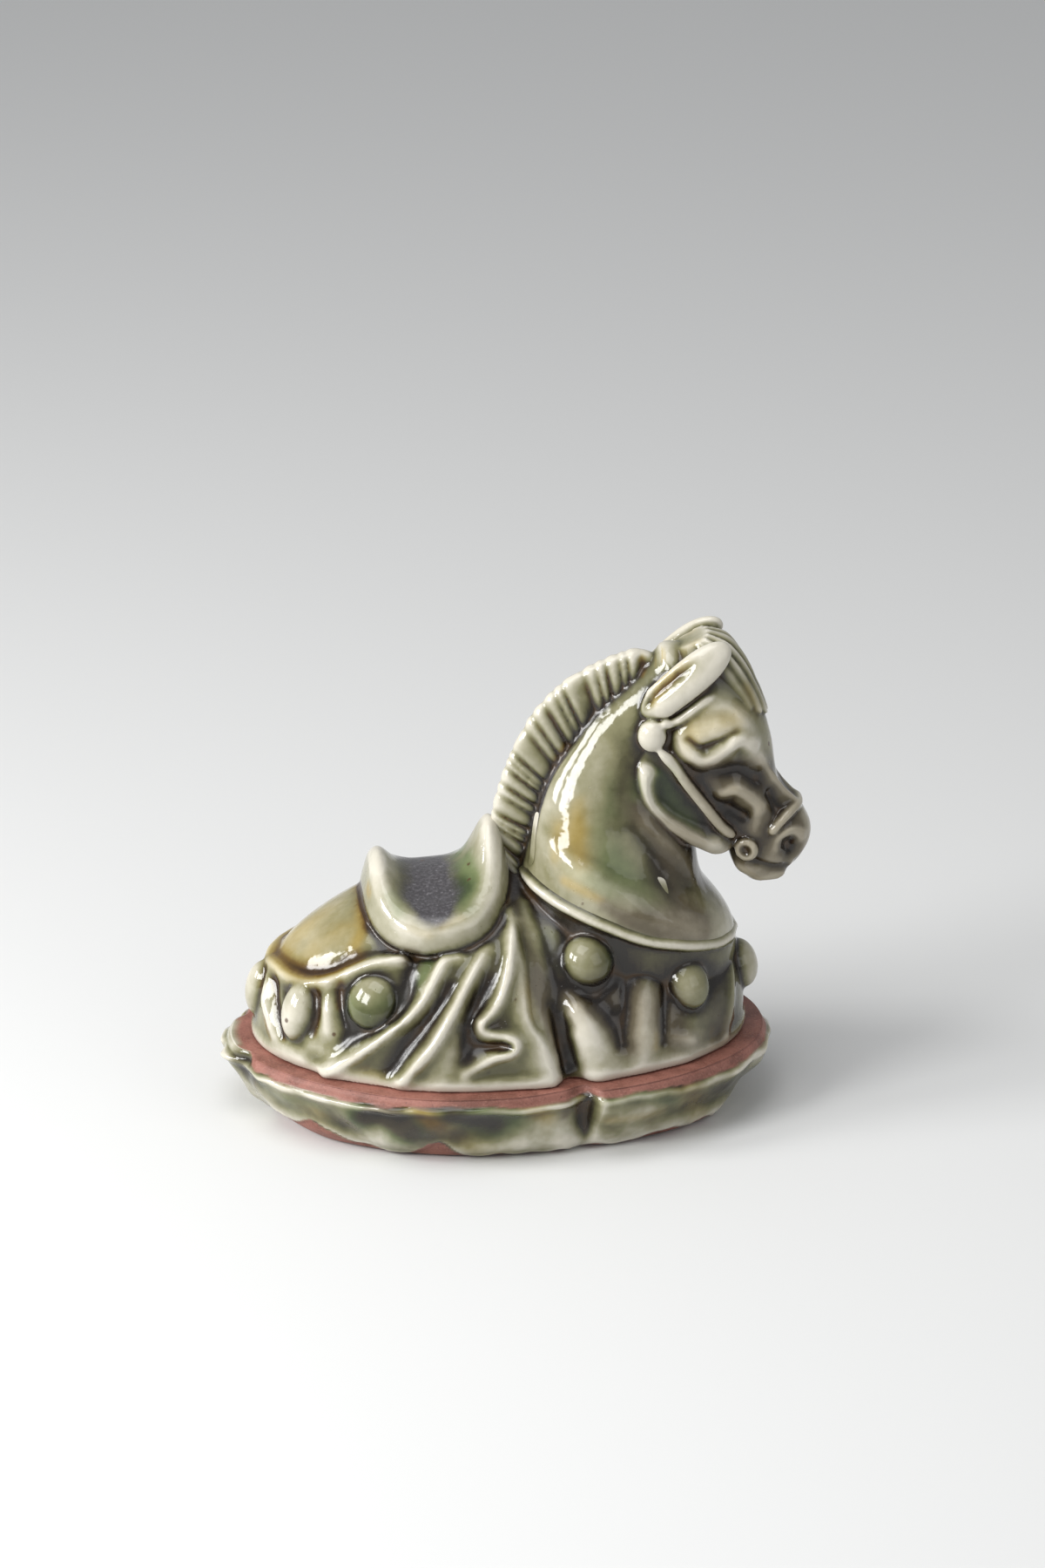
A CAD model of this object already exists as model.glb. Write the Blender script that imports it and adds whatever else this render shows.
import bpy
import math
import numpy as np
from mathutils import Matrix


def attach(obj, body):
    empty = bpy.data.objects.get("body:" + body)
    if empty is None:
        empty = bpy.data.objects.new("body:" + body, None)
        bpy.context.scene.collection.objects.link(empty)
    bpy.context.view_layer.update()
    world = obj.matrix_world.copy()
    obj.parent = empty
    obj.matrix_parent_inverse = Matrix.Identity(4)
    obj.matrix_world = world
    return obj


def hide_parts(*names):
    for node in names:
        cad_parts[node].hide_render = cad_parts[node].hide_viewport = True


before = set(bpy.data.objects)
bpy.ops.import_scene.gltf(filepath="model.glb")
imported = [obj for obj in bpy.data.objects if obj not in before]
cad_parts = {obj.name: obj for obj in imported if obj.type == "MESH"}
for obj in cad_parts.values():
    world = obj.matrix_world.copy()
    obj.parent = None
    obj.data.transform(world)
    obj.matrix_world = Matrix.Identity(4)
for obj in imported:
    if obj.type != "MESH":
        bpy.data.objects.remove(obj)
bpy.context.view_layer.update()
print("stage: frame loaded")

mm = 0.001


# small numpy tools

def mix(a, b, t):
    # a at t = 0, b at t = 1
    return a + (b - a) * t


def smooth(t):
    # 3t^2 - 2t^3 on t held to 0..1
    t = np.clip(t, 0, 1)
    return t * t * (3 - 2 * t)


def stepped(value, start, run):
    # smooth step of a value over a run from its start
    return smooth((value - start) / run)


def bell(distance, spread):
    # e^-(distance / spread)^2
    return np.exp(-(distance / spread) ** 2)


def bent(value, power):
    # the value's size to a power, with its sign kept
    return np.sign(value) * np.abs(value) ** power


def unit(v):
    # v over its length, along the last axis
    return v / np.maximum(np.linalg.norm(v, axis=-1, keepdims=True), 1e-9)


def splineAt(points, t):
    # Catmull-Rom curve through the rows of points, t from 0 to 1, with mirrored ends
    points = np.asarray(points, float)
    ends = np.vstack([2 * points[0] - points[1], points, 2 * points[-1] - points[-2]])
    place = np.clip(np.asarray(t, float), 0, 1) * (len(points) - 1)
    i = np.minimum(place.astype(int), len(points) - 2)
    f = (place - i)[..., None]
    a, b, c, d = ends[i], ends[i + 1], ends[i + 2], ends[i + 3]
    square, cube = 2 * a - 5 * b + 4 * c - d, 3 * b - a - 3 * c + d
    return 0.5 * (2 * b + (c - a) * f + square * f**2 + cube * f**3)


# meshes from grids of points

def gridFaces(rows, columns, start, looped):
    # quads of a grid that is closed around its columns, and also from its last row to its first if looped
    r = np.arange(rows if looped else rows - 1)[:, None]
    c = np.arange(columns)[None, :]
    a = r * columns + c
    b = r * columns + (c + 1) % columns
    up = ((r + 1) % rows) * columns
    return np.stack([a, b, up + (c + 1) % columns, up + c], -1).reshape(-1, 4) + start


def meshOf(name, grids):
    # one mesh of closed tubes: each grid is (rows, columns, 3) in mm, with a fan over its first and last
    # row. A grid given as (grid, "loop") is joined end to end instead
    points, faces, start = [], [], 0
    for grid in grids:
        grid, looped = (grid[0], True) if isinstance(grid, tuple) else (grid, False)
        rows, columns = grid.shape[:2]
        points.append(grid.reshape(-1, 3))
        faces += gridFaces(rows, columns, start, looped).tolist()
        if not looped:
            points.append(np.stack([grid[0].mean(0), grid[-1].mean(0)]))
            first = start + np.arange(columns)
            after = start + (np.arange(columns) + 1) % columns
            top = (rows - 1) * columns
            poles = start + rows * columns
            faces += np.stack([after, first, np.full(columns, poles)], -1).tolist()
            faces += np.stack([first + top, after + top, np.full(columns, poles + 1)], -1).tolist()
        start += rows * columns + (0 if looped else 2)
    mesh = bpy.data.meshes.new(name)
    if grids:
        mesh.from_pydata((np.vstack(points) * mm).tolist(), [], faces)
    mesh.update()
    obj = bpy.data.objects.new(name, mesh)
    bpy.context.collection.objects.link(obj)
    return obj


def outward(grid):
    # the grid with its columns reversed if its enclosed volume comes out negative
    ring = np.roll(grid, -1, axis=1)
    a, b, c, d = grid[:-1], ring[:-1], ring[1:], grid[1:]
    volume = (np.cross(a, b) * c).sum() + (np.cross(a, c) * d).sum()
    for cap, sign in ((grid[0], -1), (grid[-1], 1)):
        middle = cap.mean(0)
        volume += sign * (np.cross(cap, np.roll(cap, -1, axis=0)) * middle).sum()
    return grid if volume > 0 else grid[:, ::-1]


def pointsOf(mesh):
    # the mesh's vertices as an array, in mm
    co = np.empty(len(mesh.vertices) * 3)
    mesh.vertices.foreach_get("co", co)
    return co.reshape(-1, 3) / mm


def normalsOf(mesh):
    # unit vertex normals
    no = np.empty(len(mesh.vertices) * 3)
    mesh.vertices.foreach_get("normal", no)
    return no.reshape(-1, 3)


def edgesOf(mesh):
    # vertex pairs of the edges
    ed = np.empty(len(mesh.edges) * 2, int)
    mesh.edges.foreach_get("vertices", ed)
    return ed.reshape(-1, 2)


def relaxed(points, edges, rounds, share=0.5):
    # each round moves every point towards the mean of its neighbours by a share of the way
    n = len(points)
    ends = np.concatenate([edges, edges[:, ::-1]])
    count = np.maximum(np.bincount(ends[:, 0], minlength=n), 1)[:, None]
    points = points.reshape(n, -1).copy()
    for _ in range(rounds):
        columns = points[ends[:, 1]].T
        total = np.stack([np.bincount(ends[:, 0], column, n) for column in columns], 1)
        points += (total / count - points) * share
    return points


def setPoints(mesh, points):
    # writes the points, in mm, back to the mesh
    mesh.vertices.foreach_set("co", (points * mm).astype(np.float32).ravel())
    mesh.update()


def setMask(mesh, name, values):
    # a float attribute on the vertices
    mask = mesh.attributes.new(name, "FLOAT", "POINT")
    mask.data.foreach_set("value", np.clip(values, 0, 1).astype(np.float32))


# camera: the photograph's view, and where a point shows in it

camera = dict(lens=150.0, sensor=36.0, pitch=22.0, azimuth=-4.5, pixel=9.4, base=(573, 1253),
              middle=(600, 900), near=0.01)
azimuth, pitch = math.radians(camera["azimuth"]), math.radians(camera["pitch"])
viewBack = np.array([math.sin(azimuth) * math.cos(pitch), -math.cos(azimuth) * math.cos(pitch),
                     math.sin(pitch)])
viewRight = np.array([math.cos(azimuth), math.sin(azimuth), 0])
viewUp = np.cross(viewBack, viewRight)
viewDepth = camera["middle"][1] * 2 * camera["lens"] / camera["sensor"] / camera["pixel"]
viewShift = np.array([camera["base"][0] - camera["middle"][0], camera["middle"][1] - camera["base"][1]])
viewShift = viewShift / camera["pixel"]
viewPlace = viewBack * viewDepth - viewRight * viewShift[0] - viewUp * viewShift[1]


def seenAt(points):
    # where a point shows, in mm right of and above the origin's own place in the picture
    q = points - viewPlace
    depth = -(q @ viewBack)
    return np.stack([(q @ viewRight) * viewDepth / depth, (q @ viewUp) * viewDepth / depth], -1) - viewShift


def inView(pixels):
    # the same measure from pixels of the photograph
    return (np.asarray(pixels, float) - camera["base"]) * np.array([1, -1]) / camera["pixel"]


def onPlane(pixels, y):
    # places at one y, or one y each, that show at the pixels: sight lines cut by that plane
    t = inView(pixels) + viewShift
    sight = (t[:, :1] * viewRight + t[:, 1:] * viewUp) / viewDepth - viewBack
    return viewPlace + sight * ((y - viewPlace[1]) / sight[:, 1])[:, None]


def spotOn(surface, pixels, top=1.0):
    # the two parameters at places given by pixels, on a surface's near side from (-pi, 0) to (0, top): the
    # nearest place of a net, then Newton's steps
    low, high = (-np.pi, 0.0), (0.0, top)
    target = inView(pixels)
    a, b = np.meshgrid(np.linspace(low[0], high[0], 60), np.linspace(low[1], high[1], 50))
    a, b = a.ravel(), b.ravel()
    nearest = np.linalg.norm(seenAt(surface(a, b)) - target[:, None], axis=-1).argmin(-1)
    a, b = a[nearest], b[nearest]
    h = 1e-3
    for _ in range(12):
        here = seenAt(surface(a, b))
        da = (seenAt(surface(a + h, b)) - here) / h
        db = (seenAt(surface(a, b + h)) - here) / h
        off = target - here
        size = da[..., 0] * db[..., 1] - da[..., 1] * db[..., 0]
        size = np.where(np.abs(size) < 1e-2, 1e-2, size)
        a = a + np.clip((off[..., 0] * db[..., 1] - off[..., 1] * db[..., 0]) / size, -0.05, 0.05)
        b = b + np.clip((off[..., 1] * da[..., 0] - off[..., 0] * da[..., 1]) / size, -0.03, 0.03)
        a, b = np.clip(a, low[0], high[0]), np.clip(b, low[1], high[1])
    return a, b


def smoothLine(pixels, count=26):
    # a curve through the pixels
    return splineAt(pixels, np.linspace(0, 1, count))


# the lid's body: an oval in plan, blunt at both ends and slack at the sides, in mm

body = dict(
    halfLength=29.8, halfWidth=18.6, seam=9.0,
    rumpRise=18.6, backRise=20.6, chestRise=15.4,
    rumpBlunt=2.6, chestBlunt=3.8, sideBlunt=1.8,
    # start and run of the steps between them, and the swell's height, middle and spread, as shares of x
    rumpStep=(-0.85, 0.5), chestStep=(0.1, 0.55), bluntStep=(-0.2, 1.1), swell=(0.05, -0.35, 0.35),
    crease=1.3, creaseSpread=1.5, creaseFoot=8.64, creaseLean=0.29,
    # the glaze's roll on the rim: height, how far over the seam, and spread
    wall=3.1, hollowEnd=0.97, topEnd=0.985, rimRoll=(0.35, 0.9, 0.8), bareRim=0.18, steepest=1.45,
)


def creaseAt(z):
    # the x of the crease between barrel and shoulder at a height
    return body["creaseFoot"] - (z - body["seam"]) * body["creaseLean"]


def riseAt(x):
    # the ridge's height over the seam: rump, back and chest, joined by smooth steps
    share = x / body["halfLength"]
    rump = mix(body["rumpRise"], body["backRise"], stepped(share, *body["rumpStep"]))
    return mix(rump, body["chestRise"], stepped(share, *body["chestStep"]))


def swellAt(x):
    # how much wider than an oval the barrel is behind its middle
    height, middle, spread = body["swell"]
    return 1 + height * bell(x / body["halfLength"] - middle, spread)


def bluntAt(x, flat):
    # the section's power: that of the ends where flat = 1, that of the sides where flat = 0
    end = mix(body["rumpBlunt"], body["chestBlunt"], stepped(x / body["halfLength"], *body["bluntStep"]))
    return mix(body["sideBlunt"], end, flat)


def bodyAt(angle, climb, grow=0.0, crease=None):
    # x = a r cos(angle), y = b r sin(angle), z = seam + T s, with r = cos(climb)^(2/n) and
    # s = sin(climb)^(2/n); the crease draws y in
    angle, climb, grow = np.broadcast_arrays(np.asarray(angle, float), climb, grow)
    c, s = np.cos(angle), np.sin(angle)
    x = np.zeros_like(c)
    for _ in range(6):
        power = 2 / bluntAt(x, c * c)
        ring = np.cos(np.clip(climb, 0, np.pi / 2)) ** power
        level = np.sin(np.clip(climb, 0, np.pi / 2)) ** power
        x = (body["halfLength"] + grow) * ring * c
    z = body["seam"] + (riseAt(x) + grow) * level
    depth = body["crease"] if crease is None else crease
    cut = depth * bell(x - creaseAt(z), body["creaseSpread"]) * np.minimum(1, 2 * ring * np.abs(s))
    return np.stack([x, ((body["halfWidth"] + grow) * swellAt(x) * ring - cut) * s, z], -1)


def heightOver(x, y, grow=0.0):
    # the body's height over a place in plan: z = seam + T (1 - r^n)^(1/n), the crease left out
    c = x / (body["halfLength"] + grow)
    s = y / (body["halfWidth"] + grow) / swellAt(x)
    ring = np.clip(np.hypot(c, s), 1e-6, 1)
    n = bluntAt(x, (c / ring) ** 2)
    return body["seam"] + (riseAt(x) + grow) * (1 - ring**n) ** (1 / n)


def onBody(pixels):
    # angle and climb of places on the body's near side that show at the photograph's pixels
    return spotOn(bodyAt, pixels, body["steepest"])


def nearBody(pixels):
    # the same places as points
    return bodyAt(*onBody(pixels))


def climbAt(angle, z):
    # the climb at which the body reaches a height, by halving
    low, high = np.zeros(np.shape(z)), np.full(np.shape(z), np.pi / 2 - 0.01)
    for _ in range(18):
        climb = (low + high) / 2
        under = bodyAt(angle, climb)[..., 2] < z
        low, high = np.where(under, climb, low), np.where(under, high, climb)
    return climb


def distanceTo(points, line):
    # distance of every point to a broken line, and how far along the line, 0..1, the nearest place is
    best = np.full(len(points), 1e9)
    along = np.zeros(len(points))
    lengths = np.linalg.norm(np.diff(line, axis=0), axis=1)
    before = np.concatenate([[0], np.cumsum(lengths)])
    for k in range(len(line) - 1):
        step = line[k + 1] - line[k]
        t = np.clip((points - line[k]) @ step / max(step @ step, 1e-9), 0, 1)
        d = np.linalg.norm(points - line[k] - t[:, None] * step, axis=1)
        nearer = d < best
        best = np.where(nearer, d, best)
        along = np.where(nearer, (before[k] + t * lengths[k]) / before[-1], along)
    return best, along


def shareOut(values, t):
    # a value that follows a line: straight steps between the values, spread evenly from end to end
    values = np.atleast_1d(values)
    return np.interp(t, np.linspace(0, 1, len(values)), values)


# a mark's section: the shares of its core and of its skirt, how much wider the skirt is, and its whole reach
stroke = dict(core=0.62, skirt=0.38, wider=2.1, reach=5)


def marked(points, marks, place):
    # over marks on both sides, the sum of height * (core e^-(d / w)^2 + skirt e^-(d / (wider w))^2) at a
    # distance d from a mark of width w
    near = np.stack([points[:, 0], -np.abs(points[:, 1]), points[:, 2]], 1)
    total = np.zeros(len(points))
    for pixels, width, height in marks:
        line = place(smoothLine(pixels))
        reach = stroke["reach"] * np.max(width)
        inside = ((near > line.min(0) - reach) & (near < line.max(0) + reach)).all(1)
        if inside.any():
            d, t = distanceTo(near[inside], line)
            wide = shareOut(width, t)
            section = stroke["core"] * bell(d, wide) + stroke["skirt"] * bell(d, stroke["wider"] * wide)
            total[inside] += shareOut(height, t) * section
    return total


# relief on the body: a line in pixels, then its width and its height in mm from end to end

saddleCloth = [
    ([(524, 1100), (510, 1107), (498, 1127), (485, 1150), (470, 1168), (451, 1182), (428, 1198), (403, 1214),
      (376, 1228)], (0.9, 0.85, 0.8, 0.75), (0.5, 1.3, 1.5, 1.4, 1.1)),
    ([(558, 1095), (548, 1112), (537, 1132), (527, 1152), (517, 1170), (507, 1187), (497, 1202), (481, 1220),
      (464, 1238)], (0.8, 0.8, 0.75), (0.5, 1.3, 1.5, 1.5, 1.1)),
    ([(590, 1060), (587, 1078), (585, 1102), (582, 1122), (575, 1145), (565, 1162), (552, 1175)],
     (0.75, 0.75, 0.65), (0.4, 1.2, 1.3, 1.1)),
    ([(552, 1176), (551, 1183), (564, 1188), (584, 1192), (592, 1199), (586, 1208), (568, 1213), (552, 1221),
      (535, 1231)], (0.6, 0.55), (0.8, 1.2, 1.1, 0.5)),
    ([(598, 1110), (600, 1150), (612, 1190), (630, 1224)], (1.4, 2.0), (0.2, 0.4, 0.5)),
    ([(526, 1176), (520, 1205), (508, 1232)], (1.1, 1.5), (0.1, 0.4, 0.4)),
    ([(516, 1136), (500, 1162), (482, 1184), (464, 1206), (448, 1230)], (0.8, 1.1),
     (-0.3, -0.7, -0.8, -0.4)),
    ([(560, 1128), (548, 1152), (540, 1184), (536, 1212)], (0.8, 1.1), (-0.3, -0.8, -0.9, -0.4)),
    ([(548, 1200), (562, 1201), (574, 1201)], 0.6, (-0.6, -0.8)),
    ([(474, 1096), (469, 1120), (468, 1146), (458, 1166)], 0.9, (-0.6, -0.7, -0.2)),
    ([(428, 1062), (442, 1080), (464, 1093), (500, 1097), (545, 1085), (578, 1062)], 0.7,
     (-0.4, -0.6, -0.3)),
]
clothPanel = dict(height=0.55, soft=1.0, top=28.0,
                  left=[(500, 1100), (482, 1146), (450, 1178), (404, 1212), (372, 1230)],
                  right=[(594, 1062), (606, 1110), (613, 1170), (630, 1195), (644, 1232)])
shoulder = [
    ([(604, 1040), (612, 1070), (622, 1104), (634, 1136), (644, 1152)], (1.4, 1.6), (0.3, 0.7, 0.6, 0.2)),
    ([(634, 1158), (642, 1180), (650, 1208), (655, 1238)], (0.8, 1.0), (-0.4, -1.5, -1.5)),
    ([(664, 1164), (674, 1178), (684, 1194), (700, 1212)], (1.3, 1.5, 1.8), (0.8, 1.0, 0.8, 0.5)),
    ([(664, 1192), (670, 1214), (684, 1232)], (1.1, 1.6), (0.5, 0.7)),
    ([(688, 1150), (706, 1170), (712, 1194)], (1.5, 1.1), (-0.5, -0.9, -0.5)),
    ([(650, 1132), (676, 1142), (700, 1132), (712, 1108)], 0.7, (-0.4, -0.6, -0.3)),
    ([(743, 1098), (743, 1110), (742, 1130), (740, 1150), (738, 1180), (736, 1210)], 1.7, (0.5, 0.65)),
    ([(837, 1098), (839, 1130), (837, 1160), (830, 1186)], 0.8, (0.4, 0.5)),
    ([(792, 1178), (790, 1190), (784, 1206)], (1.6, 2.1), (0.4, 0.8, 0.5)),
    ([(719, 1096), (719, 1150), (716, 1196)], 0.6, (-0.3, -0.6, -0.3)),
    ([(766, 1104), (764, 1140), (762, 1196)], 0.5, (-0.3, -0.5, -0.4)),
    ([(606, 1020), (634, 1048), (668, 1066), (704, 1080), (746, 1092), (790, 1096), (836, 1094)], 0.7,
     -0.35),
]
rump = [
    ([(309, 1120), (306, 1148), (312, 1176)], 0.6, (0.4, 0.8, 0.5)),
    ([(378, 1138), (377, 1160), (378, 1182)], 0.95, (0.4, 0.75, 0.5)),
    ([(316, 1124), (318, 1158), (326, 1190)], 0.45, (-0.4, -0.5, -0.4)),
    ([(364, 1138), (366, 1160), (360, 1186)], 0.45, (-0.3, -0.5, -0.3)),
    ([(392, 1128), (391, 1150), (396, 1176)], 0.45, (-0.4, -0.5, -0.3)),
    ([(318, 1190), (330, 1200), (348, 1210)], 1.0, 0.5), ([(362, 1200), (380, 1212)], 1.5, 0.4),
    ([(400, 1192), (430, 1182), (452, 1166)], 1.0, -0.4),
    ([(312, 1090), (324, 1104), (345, 1113), (375, 1113), (404, 1101), (440, 1092)], 1.2,
     (-0.3, -0.5, -0.3)),
]
crupper = dict(radius=0.95, height=0.95, line=[
    (464, 1101), (446, 1104), (428, 1107), (408, 1115), (390, 1123), (372, 1128), (354, 1129), (338, 1124),
    (324, 1115), (311, 1102)])


def crupperLine():
    # the cord on the near side, from the saddle's corner to the middle of the rump
    line = nearBody(smoothLine(crupper["line"]))
    last = line[-1] * np.array([1, 0, 1]) - np.array([1.2, 0, 0])
    return np.vstack([line, (line[-1] + last) / 2, last])


def panelAt(points):
    # the cloth's own thickness between its left and right edges, both given as an x for each height
    left, right = (nearBody(smoothLine(clothPanel[k])) for k in ("left", "right"))
    x, z, soft = points[:, 0], points[:, 2], clothPanel["soft"]
    after = (x - np.interp(z, left[::-1, 2], left[::-1, 0])) / soft
    before = (np.interp(z, right[::-1, 2], right[::-1, 0]) - x) / soft
    return clothPanel["height"] * smooth(after) * smooth(before) * smooth((clothPanel["top"] - z) / soft)


def bodyRelief(points):
    # the cloth, the marks, the cord, and a soft roll of glaze on the rim
    total = panelAt(points) + marked(points, saddleCloth + shoulder + rump, nearBody)
    near = np.stack([points[:, 0], -np.abs(points[:, 1]), points[:, 2]], 1)
    total += crupper["height"] * bell(distanceTo(near, crupperLine())[0], crupper["radius"])
    height, above, spread = body["rimRoll"]
    return total + height * bell(points[:, 2] - body["seam"] - above, spread)


def normalsOfGrid(grid):
    # cross product of the two grid directions, taken outwards from the form's middle
    across = np.roll(grid, -1, axis=1) - np.roll(grid, 1, axis=1)
    along = np.gradient(grid, axis=0)
    n = unit(np.cross(across, along))
    middle = grid.reshape(-1, 3).mean(0)
    return n if ((grid - middle) * n).sum() > 0 else -n


def bodyGrid(columns=560, rows=230, hollowRows=60):
    # down the hollow's wall, across the rim and up the outside, which the relief pushes out
    angle = np.linspace(0, 2 * np.pi, columns, endpoint=False)[None, :]
    climb = (np.linspace(0, body["topEnd"], rows) * np.pi / 2)[:, None]
    grid = bodyAt(angle, climb)
    push = bodyRelief(grid.reshape(-1, 3)).reshape(rows, columns, 1)
    grid = grid + normalsOfGrid(grid) * push * smooth((1 - climb / (np.pi / 2)) * 12)[..., None]
    grid[0, :, 2] = body["seam"]
    down = (np.linspace(body["hollowEnd"], 0, hollowRows) * np.pi / 2)[:, None]
    inner = bodyAt(angle, down, -body["wall"], crease=0)
    return outward(np.vstack([inner, grid]))


# leaning ovals along a curve, for the neck and the head

def loftAt(stations, turn, along, grow=0.0, square=1.0):
    # stations are (x, z, depth, width, lean): depth lies along the lean in the xz plane, width along y
    turn, along, grow = np.broadcast_arrays(np.asarray(turn, float), along, grow)
    s = splineAt(stations, along)
    depth = (s[..., 2] + grow) * bent(np.cos(turn), square)
    lean = np.radians(s[..., 4])
    return np.stack([s[..., 0] + depth * np.cos(lean), (s[..., 3] + grow) * bent(np.sin(turn), square),
                     s[..., 1] + depth * np.sin(lean)], -1)


neck = [
    (14.6, 17.0, 14.2, 11.6, -12), (15.7, 27.75, 13.9, 12.4, -23.7), (14.2, 32.9, 11.4, 9.6, -24.2),
    (14.3, 37.9, 10.0, 7.4, -24.5), (15.95, 45.35, 6.66, 5.0, -40.7), (20.4, 51.6, 5.0, 4.5, -57.3),
    (22.0, 54.2, 4.4, 4.1, -57), (23.3, 56.6, 1.6, 1.6, -57),
]
head = [
    (22.6, 58.4, 1.6, 2.0, 26), (23.15, 55.75, 4.27, 4.4, 25.7), (24.5, 50.95, 6.25, 5.4, 19.2),
    (24.85, 44.6, 8.0, 5.9, 14.5), (28.2, 38.55, 5.85, 4.6, 17), (31.8, 34.9, 5.36, 4.0, 14),
    (33.05, 31.2, 4.9, 4.1, 19), (32.6, 28.2, 2.6, 2.4, 5),
]
headSquare = 0.86


def neckAt(turn, along, grow=0.0):
    # the neck's surface: turn 0 in front, along 0 at its root
    return loftAt(neck, turn, along, grow)


def headAt(turn, along, grow=0.0):
    # the head's surface: turn 0 at the forehead, along 0 at the poll
    return loftAt(head, turn, along, grow, headSquare)


def onNeck(pixels):
    # turn and along of places on the neck's near side
    return spotOn(neckAt, pixels)


def nearNeck(pixels):
    # places on the neck's near side
    return neckAt(*onNeck(pixels))


def onHead(pixels):
    # turn and along of places on the head's near side
    return spotOn(headAt, pixels)


def nearHead(pixels):
    # places on the head's near side
    return headAt(*onHead(pixels))


def tubeGrid(line, width, height, out, columns=16, ends=0.45):
    # an oval section carried along a line: width across it, height along out, both shrinking to its two ends
    n = len(line)
    way = unit(np.gradient(line, axis=0))
    out = unit(out - (out * way).sum(-1, keepdims=True) * way)
    across = np.cross(way, out)
    t = np.linspace(0, 1, n)
    share = np.clip(np.minimum(t, 1 - t) * n / 4, 0, 1)
    size = (ends + (1 - ends) * np.sqrt(share))[:, None, None]
    turn = np.linspace(0, 2 * np.pi, columns, endpoint=False)[None, :, None]
    width, height = (shareOut(v, t)[:, None, None] for v in (width, height))
    section = across[:, None] * np.cos(turn) * width + out[:, None] * np.sin(turn) * height
    return outward(line[:, None] + section * size)


def buttonGrid(middle, out, radius, rise, tall=1.0, columns=36, rows=20):
    # an ellipsoid with its short axis along out, and its tall axis as upright as that allows
    out = unit(np.asarray(out, float))
    up = unit(np.array([0, 0, 1.0]) - out[2] * out)
    across = np.cross(up, out)
    polar = np.linspace(0.04, np.pi - 0.04, rows)[:, None, None]
    turn = np.linspace(0, 2 * np.pi, columns, endpoint=False)[None, :, None]
    flat = across * np.cos(turn) + up * tall * np.sin(turn)
    return outward(middle + radius * flat * np.sin(polar) + out * rise * np.cos(polar))


def outOf(surface, a, b):
    # the way out of a surface function at one place
    p = surface(a, b)
    n = unit(np.cross(surface(a + 0.01, b) - p, surface(a, b + 0.01) - p))
    return n if n @ (surface(a, b, 1.0) - p) > 0 else -n


# the saddle: a bowl with a broad rolled rim over the ridge, a cantle behind and a pommel in front

# cantle, pommel and the dip of the far rim: height, place along the saddle, and spread along and across it
saddle = dict(middle=-7.75, length=17.6, spread=40.5, corner=0.74, thickness=0.7, roll=1.8, rollAt=0.8,
              rollWidth=0.26, cantle=(1.7, -0.8, 0.25, 0.45), pommel=(4.5, 0.72, 0.29, 0.36),
              farDip=(1.7, -0.05, 0.5), bulge=1.3,
              # the edge: reach and height of the two rows that turn round it, and how the thickness ends
              under=-1.2, lip=((1.0, -0.3), (1.012, 0.2)), end=1.02, endRun=0.12)


def overBody(x, over, grow=0.0):
    # the body at a place along x and an angle over its ridge
    x, over, grow = np.broadcast_arrays(np.asarray(x, float), over, grow)
    share = np.minimum(1, np.abs(x) / (body["halfLength"] + grow))
    n = bluntAt(x, 0.5)
    for _ in range(14):
        along = share**n
        ring = (along + np.sin(np.abs(over)) ** 2 * (1 - along)) ** (1 / n)
        n = (n + bluntAt(x, np.clip(share / np.maximum(ring, 1e-6), 0, 1) ** 2)) / 2
    level = (np.cos(over) ** 2 * (1 - along)) ** (1 / n)
    reach = np.sqrt(np.maximum(0, ring**2 - share**2))
    z = body["seam"] + (riseAt(x) + grow) * level
    return np.stack([x, np.sign(over) * (body["halfWidth"] + grow) * swellAt(x) * reach, z], -1)


def saddleGrid(columns=200):
    # underside from the middle to the edge, then the upper side back to the middle
    turn = np.linspace(0, 2 * np.pi, columns, endpoint=False)[None, :]
    low, high = np.linspace(0.15, 0.97, 10), np.append(1.0, np.linspace(0.985, 0.03, 60))
    lip, lipHeight = np.array(saddle["lip"]).T
    reach = np.concatenate([low, lip, high])[:, None]
    ahead = reach * bent(np.cos(turn), saddle["corner"])
    over = reach * bent(np.sin(turn), saddle["corner"])
    # the far rim lies lower at the seat, where the photograph shows the ridge against the background
    dip, at, spread = saddle["farDip"]
    far = dip * smooth(over / 0.5) * bell(ahead - at, spread)
    roll = (saddle["roll"] - far) * bell(reach - saddle["rollAt"], saddle["rollWidth"])
    cantle, pommel = (height * bell(ahead - at, spread) * bell(over, wide)
                      for height, at, spread, wide in (saddle["cantle"], saddle["pommel"]))
    ending = np.sqrt(np.clip((saddle["end"] - reach) / saddle["endRun"], 0, 1))
    grow = (saddle["thickness"] + roll + cantle + pommel) * ending
    grow[:len(low)] = saddle["under"]
    grow[len(low):len(low) + len(lip)] = lipHeight[:, None]
    x = saddle["middle"] + ahead * saddle["length"] / 2
    return outward(overBody(x, over * math.radians(saddle["spread"]), grow))


# bosses and pendants on the body: a pixel, then radius, rise, tall and sink

bosses = [
    ((675, 1102), 3.15, 2.7, 1.0, 0.1), ((790, 1128), 2.7, 2.4, 1.2, 0.1),
    ((426, 1151), 3.05, 1.6, 1.05, 0.3), ((341, 1160), 2.25, 1.9, 1.6, 0.3),
]
frontBoss = dict(z=16.2, radius=3.1, rise=2.2)
tail = dict(z=15.0, radius=2.3, rise=2.0, tall=1.55, sink=0.4)


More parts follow.
